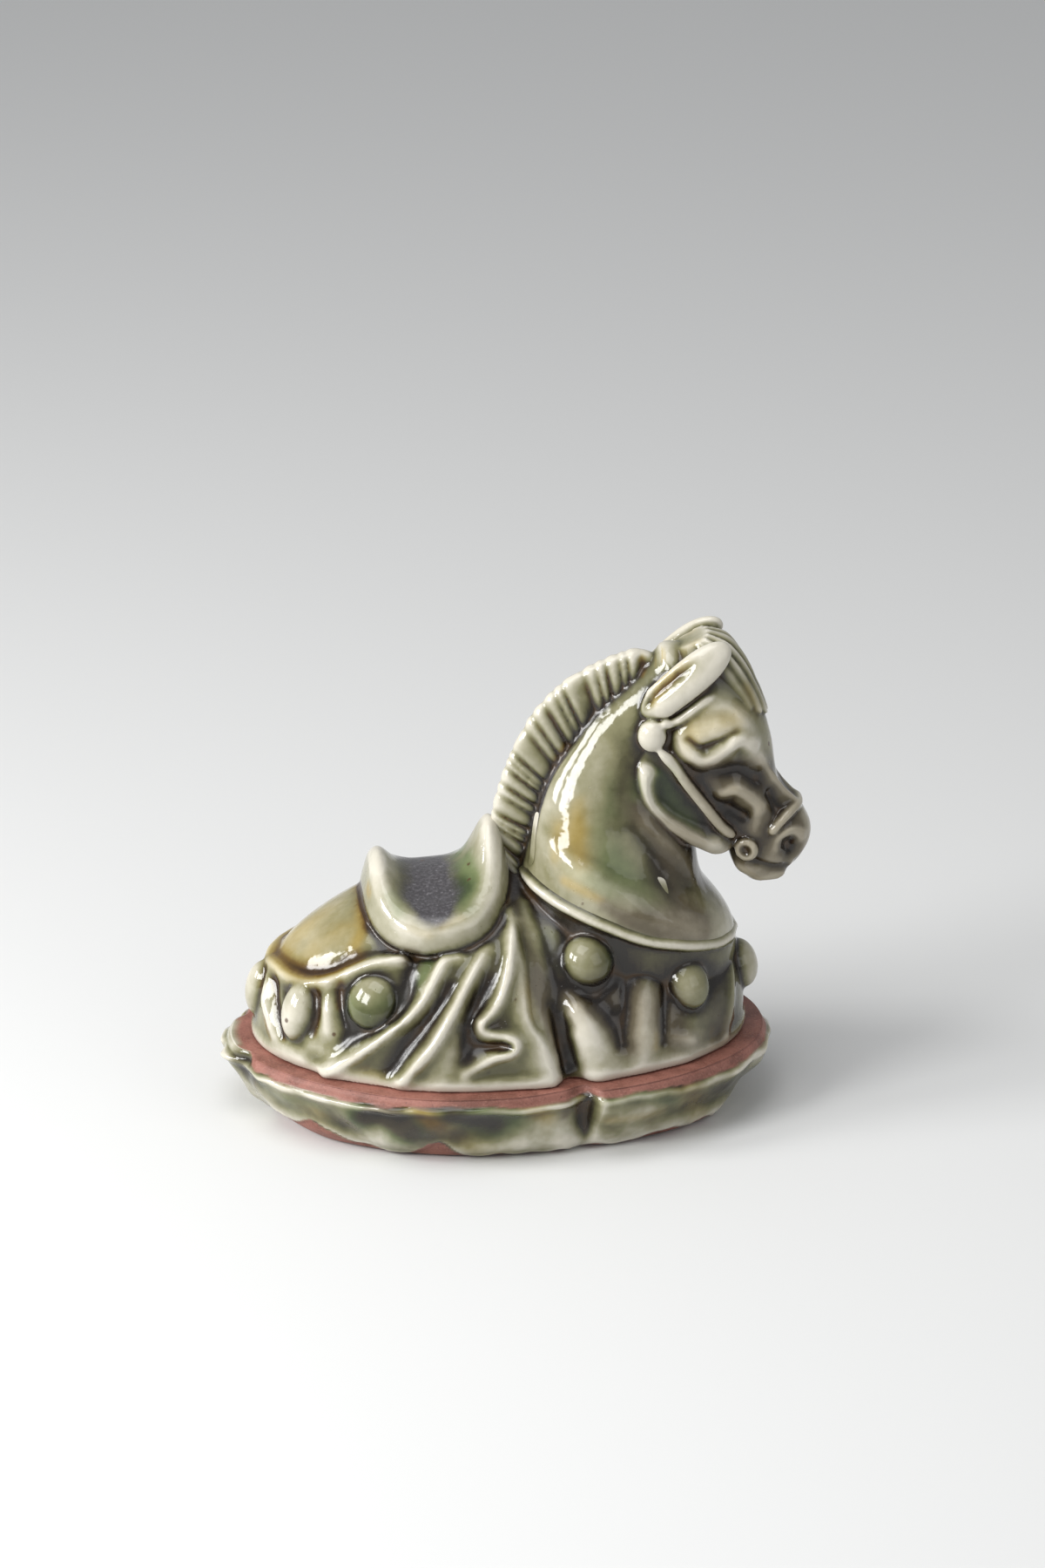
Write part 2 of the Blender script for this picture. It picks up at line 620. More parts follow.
def bodyButtons():
    # the buttons on both sides, the one in front, and the tail
    grids = []
    for pixel, radius, rise, tall, sink in bosses:
        a, b = (float(v[0]) for v in onBody([pixel]))
        for side in (-1, 1):
            middle = bodyAt(-a * side, b, -sink)
            grids.append(buttonGrid(middle, outOf(bodyAt, -a * side, b), radius, rise, tall))
    front = bodyAt(0.0, climbAt(0.0, frontBoss["z"]))
    grids.append(buttonGrid(front, np.array([1.0, 0, 0.2]), frontBoss["radius"], frontBoss["rise"]))
    rear = bodyAt(np.pi, climbAt(np.pi, tail["z"]), -tail["sink"])
    grids.append(buttonGrid(rear, np.array([-1.0, 0, 0.15]), tail["radius"], tail["rise"], tail["tall"]))
    return grids


# the breast strap round the neck's root, and the neck above and below it

strap = dict(width=(0.75, 0.68, 0.5), height=(0.95, 0.85, 0.6), sink=0.1, under=0.3, fade=0.03, line=[
    (600, 1002), (620, 1021), (642, 1037), (670, 1052), (700, 1065), (725, 1075), (750, 1082), (775, 1085),
    (800, 1086), (825, 1083), (842, 1073)])
strapTurn, strapAlong = onNeck(smoothLine(strap["line"], 60))
strapTurn[0], strapTurn[-1] = -np.pi, 0.0
# where the neck's two parts start and stop along it, and the shares of the lower part's closing rows
neckParts = dict(below=(0.0, 0.3), above=(0.06, 1.0), under=(0.04, 0.96))


def strapGrid():
    # the strap's oval section, once round: near side from the back to the front, then the far side
    turn = np.concatenate([strapTurn[:-1], -strapTurn[::-1]])
    along = np.concatenate([strapAlong[:-1], strapAlong[::-1]])
    line = neckAt(turn, along, -strap["sink"])
    out = neckAt(turn, along, 1.0) - line
    width, height = (np.concatenate([strap[k], strap[k][-2::-1]]) for k in ("width", "height"))
    return tubeGrid(line, width, height, out, 16)


def neckGrid(above, start, stop, columns=220, rows=150):
    # the neck's part above or below the strap: beyond the strap's line it draws in under the other part
    turn = np.linspace(-np.pi, np.pi, columns, endpoint=False)[None, :]
    along = np.linspace(start, stop, rows)[:, None]
    past = along - np.interp(-np.abs(turn), strapTurn, strapAlong)
    grow = -strap["under"] * smooth(np.where(above, -past, past) / strap["fade"])
    if above:
        points = neckAt(turn, along).reshape(-1, 3)
        grow = grow + marked(points, neckMarks, nearNeck).reshape(rows, columns)
    return neckAt(turn, along, grow)


def neckRoot():
    # the part below the strap, closed underneath half way down in the body's wall
    grid = neckGrid(False, *neckParts["below"], 200, 60)
    floor = heightOver(grid[..., 0], grid[..., 1], -body["wall"] / 2)
    grid[..., 2] = np.maximum(grid[..., 2], floor)
    share = np.linspace(*neckParts["under"], 14)[:, None, None]
    middle = grid[0].mean(0)
    under = middle + (grid[:1] - middle) * share
    under[..., 2] = heightOver(under[..., 0], under[..., 1], -body["wall"] / 2)
    return outward(np.vstack([under, grid]))


# mane: a crest between its root and its edge, both given in (x, z), scored across into locks

mane = dict(
    root=[(2.2, 27.6), (2.6, 30.4), (3.5, 34.6), (4.2, 38.2), (5.3, 41.4), (7.3, 44.9), (10.3, 48.1),
          (13.4, 50.5), (16.4, 53.2), (19.4, 56.2)],
    crest=[(-0.2, 30.4), (-1.0, 33.9), (-0.9, 37.0), (0.1, 41.0), (1.6, 45.0), (4.2, 49.8), (7.9, 53.6),
           (12.1, 56.0), (16.0, 57.4), (19.6, 58.2)],
    thickness=4.1, locks=24, uneven=((0.24, 31, 0), (0.2, 57, 1)), groove=0.74, notch=0.3, sink=1.8,
    # how much thinner the edge is, and the powers that square the section
    taper=0.34, squareUp=0.8, squareOut=0.7,
    # where its grooves are looked for, x, y and z, and its stains
    before=20, beside=2.6, above=29, stains=dict(amber=1.0, dark=0.45),
)


def locksAt(u):
    # at a share u of the crest's run: 0 in a groove to 1 on a lock, and how deep that groove is
    phase = u * mane["locks"]
    for size, turns, start in mane["uneven"]:
        phase = phase + size * np.sin(u * turns + start)
    return np.abs(np.sin(np.pi * phase)) ** 0.65, 0.8 + 0.3 * np.sin(np.floor(phase + 0.5) * 2.4)


def maneGrid(rows=560, columns=52):
    # the section leaves the neck's back and narrows to a round edge; each groove cuts its sides and nicks
    # its edge
    u = np.linspace(0, 1, rows)
    root, crest = (splineAt(mane[k], u) for k in ("root", "crest"))
    out = unit(crest - root)
    height = np.linalg.norm(crest - root, axis=1)
    lock, deep = locksAt(u)
    ends = smooth(np.minimum(14 * u + 0.35, 8 * (1.03 - u)))
    v = np.linspace(0, 2 * np.pi, columns, endpoint=False)[None, :]
    lift = 0.5 + 0.5 * bent(np.cos(v), mane["squareUp"])
    fade = smooth(lift / 0.25) * (1 - 0.55 * smooth((lift - 0.7) / 0.3))
    cut = ((1 - lock) * deep)[:, None] * fade
    half = (mane["thickness"] / 2 * (0.5 + 0.5 * ends))[:, None]
    half = half * (1 - mane["taper"] * lift) - mane["groove"] * cut
    top = height * ends - mane["notch"] * (1 - lock)
    rise = lift * (top[:, None] + mane["sink"]) - mane["sink"]
    side = bent(np.sin(v), mane["squareOut"]) * half
    place = root[:, None] + out[:, None] * rise[..., None]
    return outward(np.stack([place[..., 0], side, place[..., 1]], -1))


def maneGrooves(points):
    # 1 in the crest's grooves, found from the nearest place along the crest's middle line
    u = np.linspace(0, 1, 240)
    root, crest = (splineAt(mane[k], u) for k in ("root", "crest"))
    x, y, z = points.T
    near = (np.abs(y) < mane["beside"]) & (x < mane["before"]) & (z > mane["above"])
    total = np.zeros(len(points))
    flat = points[near][:, [0, 2]]
    best, at, lift = np.full(len(flat), 1e9), np.zeros(len(flat)), np.zeros(len(flat))
    for k, place in enumerate(u):
        rise = crest[k] - root[k]
        t = np.clip((flat - root[k]) @ rise / (rise @ rise), 0.05, 1.0)
        d = np.linalg.norm(flat - root[k] - t[:, None] * rise, axis=1)
        nearer = d < best
        best, at, lift = (np.where(nearer, new, old) for new, old in ((d, best), (place, at), (t, lift)))
    lock, deep = locksAt(at)
    shown = smooth((lift - 0.05) / 0.2) * smooth((0.95 - lift) / 0.3) * (best < 0.3)
    total[near] = (1 - lock) ** 1.5 * deep * shown
    return total


# forelock: locks that fan from the poll down the forehead

forelock = dict(thickness=1.35, locks=7, wide=74, narrow=60, top=0.0, foot=0.27, tip=0.09, jag=0.02, fan=0.9,
                sway=(0.4, 5), under=-1.2)


def forelockGrid(rows=70, columns=130):
    # a closed sheet: its outer side stands off the head by a height scored along the locks
    u = np.linspace(0, 1, rows)[:, None]
    half = columns // 2
    v = np.concatenate([np.linspace(-1, 1, half), np.linspace(1, -1, half)])[None, :]
    outer = np.concatenate([np.ones(half), np.zeros(half)])[None, :]
    foot = forelock["foot"] + forelock["tip"] * np.cos(np.pi / 2 * v)
    size, turns = forelock["sway"]
    phase = np.pi * forelock["locks"] * (v + 1) / 2 + forelock["fan"] * u * v + size * np.sin(turns * u)
    along = mix(forelock["top"], foot + forelock["jag"] * np.abs(np.sin(phase)), u)
    turn = np.radians(mix(forelock["wide"], forelock["narrow"], u)) * v
    lock = 0.4 + 0.6 * np.abs(np.sin(phase)) ** 0.7
    swell = 0.4 + 0.6 * np.sin(np.pi * np.minimum(1, u + 0.25))
    height = forelock["thickness"] * lock * (1 - np.abs(v) ** 6) * swell
    return outward(headAt(turn, along, np.where(outer > 0, height, forelock["under"])))


# ears: blunt leaves pricked forward along the head, with a groove between a thick and a thin rim. Its ends
# are given as a start and a run, and so is the heel's rounding

ear = dict(root=(18.2, 4.2, 51.5), tip=(27.1, 4.2, 59.1), width=2.25, thickness=1.3, outer=(0.05, 1, 0.42),
           groove=0.8, grooveAt=0.42, grooveWidth=0.3, grooveStart=(-0.15, 0.2), grooveStop=(0.75, 0.35),
           heel=(-0.15, 0.22), bow=0.7, back=-0.14)


def earGrid(side, rows=70, columns=56):
    # an oval section along the ear, its outer side grooved a little above the middle
    mirror = np.array([1, side, 1])
    root, tip = np.array(ear["root"]) * mirror, np.array(ear["tip"]) * mirror
    length = np.linalg.norm(tip - root)
    way = (tip - root) / length
    outer = np.array(ear["outer"]) * mirror
    outer = unit(outer - (outer @ way) * way)
    edge = unit(np.array([0, 0, 1.0]) - way[2] * way - outer[2] * outer)
    u = np.linspace(ear["back"], 1, rows)[:, None, None]
    turn = np.linspace(0, 2 * np.pi, columns, endpoint=False)[None, :, None]
    clamp = np.clip(u, 0, 1)
    start, run = ear["heel"]
    heel = np.sqrt(np.clip((u - start) / run, 0, 1))
    leaf = (0.84 + 0.18 * np.sin(np.pi * (0.1 + 0.7 * clamp))) * np.sqrt(1.015 - clamp**6) * heel
    across = bent(np.cos(turn), 0.85) * ear["width"] * leaf
    place = np.cos(turn)
    thick = ear["thickness"] * np.sqrt(1.03 - clamp**5) * heel
    dish = ear["groove"] * bell(place - ear["grooveAt"], ear["grooveWidth"])
    stop, fade = ear["grooveStop"]
    dish = dish * stepped(u, *ear["grooveStart"]) * smooth((stop - u) / fade)
    out = thick * (np.sin(turn) + 0.25) - np.where(np.sin(turn) > 0, dish, 0)
    grid = root + way * u * length + edge * across + outer * (out + ear["bow"] * np.sin(np.pi * clamp))
    return outward(grid)


# the head's own modelling: a line in pixels, then its width and its height in mm from end to end

headMarks = [
    # eye: brow, ball, thick lower lid
    ([(800, 822), (815, 812), (832, 811), (846, 820), (858, 836), (864, 852)], 0.85,
     (0.1, 0.4, 0.5, 0.45, 0.3)),
    ([(806, 840), (824, 834), (838, 834)], 1.75, (0.9, 1.1, 0.9)),
    ([(792, 848), (806, 856), (826, 848), (842, 838)], 0.4, -0.5),
    ([(784, 846), (790, 860), (803, 871), (816, 870), (830, 861), (844, 850), (860, 854)], 0.9,
     (0.6, 1.1, 1.25, 1.1, 0.5)),
    ([(858, 856), (868, 874)], 1.1, 0.5),
    ([(800, 890), (830, 887), (852, 886), (870, 894)], (1.0, 1.3), (-0.4, -0.9, -0.9)),
    ([(792, 880), (806, 900), (824, 922)], 0.9, -0.4),
    # cheekbone, hollows beside it, the nose's edge
    ([(830, 911), (845, 906), (860, 913), (872, 924)], 0.85, (0.5, 0.9, 0.9, 0.6)),
    ([(838, 931), (852, 938)], 1.0, -0.9), ([(886, 912), (893, 928)], 0.8, -0.7),
    ([(868, 934), (866, 956)], 0.8, 0.3),
    ([(870, 866), (882, 886), (896, 906), (912, 920)], 0.6, (0.3, 0.8, 0.6)),
    # nostril and its rim, mouth, lips
    ([(908, 973), (913, 980)], 1.25, -1.7),
    ([(893, 974), (896, 961), (908, 954), (920, 958)], 0.7, (0.5, 1.0, 0.7)),
    ([(868, 990), (888, 997), (908, 998)], 0.5, (-0.5, -0.7, -0.3)),
    ([(852, 996), (872, 1006), (892, 1006)], 1.1, 0.4),
]
neckMarks = [
    ([(724, 862), (713, 900), (709, 950), (716, 1000)], 2.0, (-0.3, -0.45, -0.4, -0.1)),
    ([(742, 946), (762, 964), (785, 990), (800, 1018)], 1.2, (0.4, 0.6, 0.3)),
    ([(728, 952), (750, 985), (770, 1030)], 1.1, (-0.3, -0.45, -0.3)),
    ([(656, 846), (632, 882), (618, 915), (611, 950), (608, 985)], 0.7, -0.5),
]
cheek = dict(middle=(22.6, 41.4), inner=2.0, floor=(4.9, 3.5), floorRun=(19.5, 27.5), rim=1.2, rimAt=0.83,
             rimWidth=0.17, rimEnds=(0.02, 0.6), rimFades=(0.05, 0.08), turns=(0.2, 0.35), edgeRun=0.17,
             edgeSwell=0.03, outline=[
    (17.2, 46.2), (16.2, 43.8), (16.1, 41.2), (17.0, 38.7), (19.1, 36.4), (21.3, 34.7), (23.6, 33.3),
    (26.0, 32.2), (28.0, 33.4), (28.8, 38.0), (28.0, 42.0), (25.5, 46.5), (21.5, 48.6), (18.8, 48.2)])


def cheekGrid(side, columns=180, rows=60):
    # a rounded slab inside a closed outline: from its inner face over the edge to the hollow inside its
    # rolled rim. The floor sinks into the head towards the front, and the rim fades out there
    outline = np.array(cheek["outline"] + cheek["outline"][:1])
    column = np.arange(columns) / columns
    around = splineAt(outline, column)
    middle = np.array(cheek["middle"])
    turn = np.linspace(0, 1, rows)
    # out over the inner face up to the first of the turns, round the edge, and in again from the second
    first, second = cheek["turns"]
    inwards = np.clip((turn - second) / (1 - second), 0, 1)
    share = np.where(turn < first, 0.08 + 0.9 * turn / first, 1.0 - 0.97 * inwards)
    over = stepped(turn, first, cheek["edgeRun"])
    swell = cheek["edgeSwell"] * np.sin(np.pi * over)
    plan = middle + (around[None] - middle) * (share + swell)[:, None, None]
    (start, stop), (fadeIn, fadeOut) = cheek["rimEnds"], cheek["rimFades"]
    shown = stepped(column, start, fadeIn) * smooth((stop - column) / fadeOut)
    rim = cheek["rim"] * (bell(share - cheek["rimAt"], cheek["rimWidth"]) * over)[:, None] * shown
    low, high = cheek["floorRun"]
    hollow = mix(*cheek["floor"], stepped(plan[..., 0], low, high - low))
    y = side * (mix(cheek["inner"], hollow, over[:, None]) + rim)
    return outward(np.stack([plan[..., 0], y, plan[..., 1]], -1))


def headGrid(columns=260, rows=300):
    # the head from the poll to the muzzle, pushed out by its marks
    turn = np.linspace(0, 2 * np.pi, columns, endpoint=False)[None, :]
    along = np.linspace(0, 1, rows)[:, None]
    grid = headAt(turn, along)
    push = marked(grid.reshape(-1, 3), headMarks, nearHead).reshape(rows, columns, 1)
    return outward(grid + normalsOfGrid(grid) * push)


# bridle: straps in pixels, the rosette behind the eye and the bit's ring

bridle = dict(
    cheek=[(757, 862), (775, 880), (790, 901), (810, 926), (828, 948), (843, 960)],
    cheekY=(6.0, 5.7, 5.45, 4.95, 4.35, 4.0),
    brow=[(758, 833), (772, 830), (784, 824), (796, 815), (808, 806), (820, 799)],
    browY=(5.5, 4.85, 5.05, 5.2, 5.25, 4.9),
    nose=[(884, 957), (892, 947), (902, 936), (913, 924)],
    width=0.62, height=0.75, cheekWide=1.1, browWide=0.95, noseHigh=1.2,
    rosette=(17.9, 5.2, 48.2), rosetteOut=(-0.25, 1, 0.1), rosetteSize=(1.72, 1.45, 1.15),
    bit=(859, 973), bitLift=0.45, ring=0.95, wire=0.55, stud=(1.1, 0.7), studSink=0.5,
)


def planeTube(pixels, ys, side, width, height):
    # a tube beside the head: its line shows at the pixels and keeps the distances ys from the middle plane
    flat = smoothLine(pixels, 40)
    line = onPlane(flat, -shareOut(ys, np.linspace(0, 1, 40)))
    line[:, 1] *= -side
    out = np.tile(np.array([0.0, side, 0.15]), (40, 1))
    return tubeGrid(line, width, height, out, 14)


def bridleGrids():
    # cheek straps, browband halves, noseband, rosettes and bit rings
    grids = []
    size = bridle["width"], bridle["height"]
    for side in (-1, 1):
        mirror = np.array([1, side, 1])
        for band in ("cheek", "brow"):
            wide = size[0] * bridle[band + "Wide"]
            grids.append(planeTube(bridle[band], bridle[band + "Y"], side, wide, size[1]))
        grids.append(buttonGrid(bridle["rosette"] * mirror, bridle["rosetteOut"] * mirror,
                                *bridle["rosetteSize"]))
        a, b = (float(v[0]) for v in onHead([bridle["bit"]]))
        out, middle = outOf(headAt, -a * side, b), headAt(-a * side, b, bridle["bitLift"])
        up = unit(np.array([0, 0, 1.0]) - out[2] * out)
        across = np.cross(up, out)
        around = np.linspace(0, 2 * np.pi, 40, endpoint=False)[:, None]
        loop = middle + bridle["ring"] * (across * np.cos(around) + up * np.sin(around))
        turn = np.linspace(0, 2 * np.pi, 14, endpoint=False)[None, :, None]
        away = unit(loop - middle)[:, None]
        ring = loop[:, None] + bridle["wire"] * (away * np.cos(turn) + out * np.sin(turn))
        grids.append((ring, "loop"))
        grids.append(buttonGrid(middle - out * bridle["studSink"], out, *bridle["stud"]))
    turn, along = onHead(smoothLine(bridle["nose"], 30))
    over = np.concatenate([turn, np.linspace(turn[-1], -turn[-1], 20)[1:-1], -turn[::-1]])
    along = np.concatenate([along, np.full(18, along[-1]), along[::-1]])
    line = headAt(over, along, -0.1)
    out = headAt(over, along, 1.0) - line
    grids.append(tubeGrid(line, size[0], size[1] * bridle["noseHigh"], out, 14))
    return grids


# the tray: one section carried round the lid's plan, with lobes that follow the horse's masses

tray = dict(
    ledge=3.15, cleftLedge=1.5, endLedge=2.7, cleftRun=9.0, cleftStep=1.2, tailNotch=1.1, notchAt=0.3,
    notchWidth=0.075, endSpread=0.3, rearInset=1.3, frontInset=2.4, insetTop=6.5,
    # waves: size, lowest number, the number past the highest, and seed
    ledgeWaves=(0.12, 2, 9, 3), topWaves=((0.3, 3, 14, 5), (0.07, 18, 50, 6)), footWaves=(0.22, 14, 60, 12),
    ripple=(0.25, 8, 40, 15), lumpWaves=(2.5, 2, 14, 8),
    # bare patches at the foot: plan angle and spread in degrees, and height; waves give the others
    footPatches=[(-138, 11, 2.6), (-155, 6, 1.6), (-106, 4, 1.5), (-52, 5, 1.0), (60, 7, 1.5),
                 (140, 9, 2.0)],
    patchHeight=1.3, patchWaves=(4, 16, 11), crease=0.9, ledgeTop=8.9, sideRows=(1.5, 2, 12),
    # the lumps' twist with height, and how far they fade in from the glaze's line and from the foot
    lumpTwist=0.8, lumpFades=(1.5, 2),
    glazeTop=8.1, glazeFoot=0.25, glazeThick=0.36, edge=0.35, roll=0.95, rollAt=0.6, rollWidth=0.5,
    lumps=0.3, lip=1.2, lipWidth=0.24, lipEdge=0.16, footEdge=0.14, wellSide=-2.6, columns=620,
    # rows of the section: how far out of the lid's plan, as a share of the ledge if positive, and height
    section=[(-17, 0), (-9, 0), (-4, 0), (-2.5, 0), (-1.3, 0.06), (-0.2, 0.6), (0.27, 1.9), (0.55, 3.8),
             (0.82, 5.6), (0.97, 7.1), (0.99, 8.2), (0.86, 8.85), (0.5, 9.0), (-2.8, 9.0), (-3.45, 9.05),
             (-3.6, 9.3), (-3.62, 10.7), (-3.95, 11.15), (-4.75, 11.15), (-5.15, 10.7), (-5.4, 8.0),
             (-5.75, 4.6), (-7.2, 3.0), (-10, 2.65), (-17, 2.6)],
    steps=[2, 3, 3, 3, 4, 5, 6, 6, 6, 6, 5, 4, 4, 3, 3, 4, 4, 3, 3, 6, 8, 6, 4, 4],
)


def waves(angle, low, high, seed):
    # a smooth closed wobble: cosines of whole numbers from low to high, each with its own start
    turns = np.arange(low, high)
    starts = np.random.default_rng(seed).uniform(0, 2 * np.pi, len(turns))
    return np.cos(np.asarray(angle)[..., None] * turns + starts).sum(-1) / math.sqrt(len(turns))


def wavy(angle, start, *sets):
    # start + size * waves for each set
    for size, low, high, seed in sets:
        start = start + size * waves(angle, low, high, seed)
    return start


def ledgeAt(angle):
    # the ledge's width: full along the rear lobe, drawing in towards the shoulder, and full again past a
    # steep step
    x = body["halfLength"] * np.cos(angle)
    before = smooth((x - body["creaseFoot"] + tray["cleftRun"]) / tray["cleftRun"])
    after = smooth((x - body["creaseFoot"]) / tray["cleftStep"])
    width = mix(tray["ledge"], tray["cleftLedge"], before * (1 - after) * np.abs(np.sin(angle)))
    width = mix(width, tray["endLedge"], bell(np.cos(np.abs(angle)) - 1, tray["endSpread"]))
    fromTail = np.abs(np.abs(angle) - np.pi)
    width = width - tray["tailNotch"] * bell(fromTail - tray["notchAt"], tray["notchWidth"])
    return wavy(angle, width, tray["ledgeWaves"])


def insetAt(angle, z):
    # the foot's draw-in at the tail and under the front lobe, gone at the height of the lobes
    front = smooth(np.cos(angle) * 5 - 4)
    rear = smooth(-np.cos(angle) * 4 - 2.8)
    return (tray["rearInset"] * rear + tray["frontInset"] * front) * smooth(1 - z / tray["insetTop"])


def glazeTopAt(angle):
    # the wavy line on the tray's side above which the clay is bare
    return wavy(angle, tray["glazeTop"], *tray["topWaves"])


def glazeFootAt(angle):
    # the wavy line near the foot below which the clay is bare: it climbs in patches, some of them placed
    patches = np.maximum(0, waves(angle, *tray["patchWaves"]) - 1.0) ** 0.7
    line = wavy(angle, tray["glazeFoot"] + tray["patchHeight"] * patches, tray["footWaves"])
    for middle, spread, height in tray["footPatches"]:
        line = line + height * bell(np.degrees(angle) - middle, spread)
    return line


def trayGrid():
    # the section's rows, made finer by a spline, each on the lid's own plan pushed out or in
    steps = tray["steps"]
    rows = [np.linspace(k, k + 1, n, endpoint=False) for k, n in enumerate(steps)]
    rows = np.concatenate(rows + [[len(steps)]])
    section = splineAt(tray["section"], rows / len(steps))
    section[:, 1] = np.maximum(section[:, 1], 0)
    angle = np.linspace(-np.pi, np.pi, tray["columns"], endpoint=False)[None, :]
    out, z = (section[:, k][:, None] for k in range(2))
    start, run, stop = tray["sideRows"]
    outside = stepped(rows[:, None], start, run) * (rows[:, None] < stop)
    reach = np.where(out > 0, out * ledgeAt(angle), out) - outside * insetAt(angle, z)
    under = glazeTopAt(angle) - z
    coat = smooth(under / tray["edge"]) + tray["roll"] * bell(under - tray["rollAt"], tray["rollWidth"])
    coat = coat * tray["glazeThick"] * smooth((z - glazeFootAt(angle)) / tray["edge"])
    coat = coat * wavy(angle, 1, tray["ripple"])
    above, below = tray["lumpFades"]
    lumps = np.cos(wavy(angle, z * tray["lumpTwist"], tray["lumpWaves"])) * smooth(under / above)
    lumps = lumps * smooth(z / below)
    coat = coat + tray["lumps"] * lumps
    grid = bodyAt(angle, 0.0, reach + coat * outside * (z < tray["ledgeTop"]), crease=tray["crease"])
    grid[..., 2] = z + 0 * angle
    return outward(grid)


print("stage: forms defined")


# fusing closed forms into one body of clay

# voxels in mm, rounds of relaxing, and the most triangles that a piece may have
fusing = dict(bodyVoxel=0.25, headVoxel=0.21, bodyRounds=4, headRounds=3, triangles=190000)


def baked(obj):
    # the object's mesh with its modifiers worked in
    bpy.context.view_layer.update()
    made = bpy.data.meshes.new_from_object(obj.evaluated_get(bpy.context.evaluated_depsgraph_get()))
    obj.modifiers.clear()
    obj.data = made
    return made


def fused(name, grids, voxel, rounds):
    # all closed forms in one mesh, remeshed on voxels so that they run into each other, then relaxed
    obj = meshOf(name, grids)
    remesh = obj.modifiers.new("clay", "REMESH")
    remesh.mode = "VOXEL"
    remesh.voxel_size = voxel * mm
    made = baked(obj)
    setPoints(made, relaxed(pointsOf(made), edgesOf(made), rounds))
    share = fusing["triangles"] / 2 / len(made.polygons)
    if share < 1:
        obj.modifiers.new("fewer", "DECIMATE").ratio = share
        made = baked(obj)
    made.polygons.foreach_set("use_smooth", np.ones(len(made.polygons), bool))
    print("stage:", name, len(made.vertices), "points")
    return obj


# how deep the glaze lies: reach of the two relaxings in mm, their full depths in mm, and the level of a
# plain surface. Of a mark's own height a share counts for relief, within a range
glazeDepth = dict(share=0.95, near=1.0, wide=3.0, nearFull=0.32, wideFull=1.8, level=0.46, line=0.22,
                  pool=0.9, relief=0.2, range=(-0.8, 1.2), trayVoxel=0.4, trayLevel=0.05)


def cavity(points, normals, edges, rounds):
    # how far the surface, relaxed by some rounds, stands above each point along its normal, in mm
    return ((relaxed(points, edges, rounds, glazeDepth["share"]) - points) * normals).sum(1)


def glazeMasks(obj, voxel, stains, relief, bare):
    # thin on ridges, pooled in hollows at two widths, and stained where the stains' lines run
    mesh = obj.data
    points, normals, edges = pointsOf(mesh), normalsOf(mesh), edgesOf(mesh)
    reaches = (round((glazeDepth[k] / voxel) ** 2) for k in ("near", "wide"))
    near, wide = (cavity(points, normals, edges, rounds) for rounds in reaches)
    thin = glazeDepth["level"] - near / glazeDepth["nearFull"] / 2 - wide / glazeDepth["wideFull"] / 2
    setMask(mesh, "thin", thin + relief(points))
    setMask(mesh, "line", near / glazeDepth["line"])
    setMask(mesh, "pool", wide / glazeDepth["pool"])
    for name in ("amber", "green", "dark", "metal"):
        setMask(mesh, name, stains(points, name))
    setMask(mesh, "clay", bare(points))


lidGrids = [bodyGrid(), saddleGrid(), neckRoot(), strapGrid()] + bodyButtons()
headGrids = [outward(neckGrid(True, *neckParts["above"])), headGrid(), cheekGrid(-1), cheekGrid(1),
             maneGrid(),
             forelockGrid(),
             earGrid(-1), earGrid(1)]
lidBody = fused("lidBody", lidGrids, fusing["bodyVoxel"], fusing["bodyRounds"])
headForm = fused("neckAndHead", headGrids + bridleGrids(), fusing["headVoxel"], fusing["headRounds"])
trayForm = meshOf("tray", [trayGrid()])
trayForm.data.polygons.foreach_set("use_smooth", np.ones(len(trayForm.data.polygons), bool))


# where the glaze is stained: a line in pixels, then its width in mm and its strength from end to end

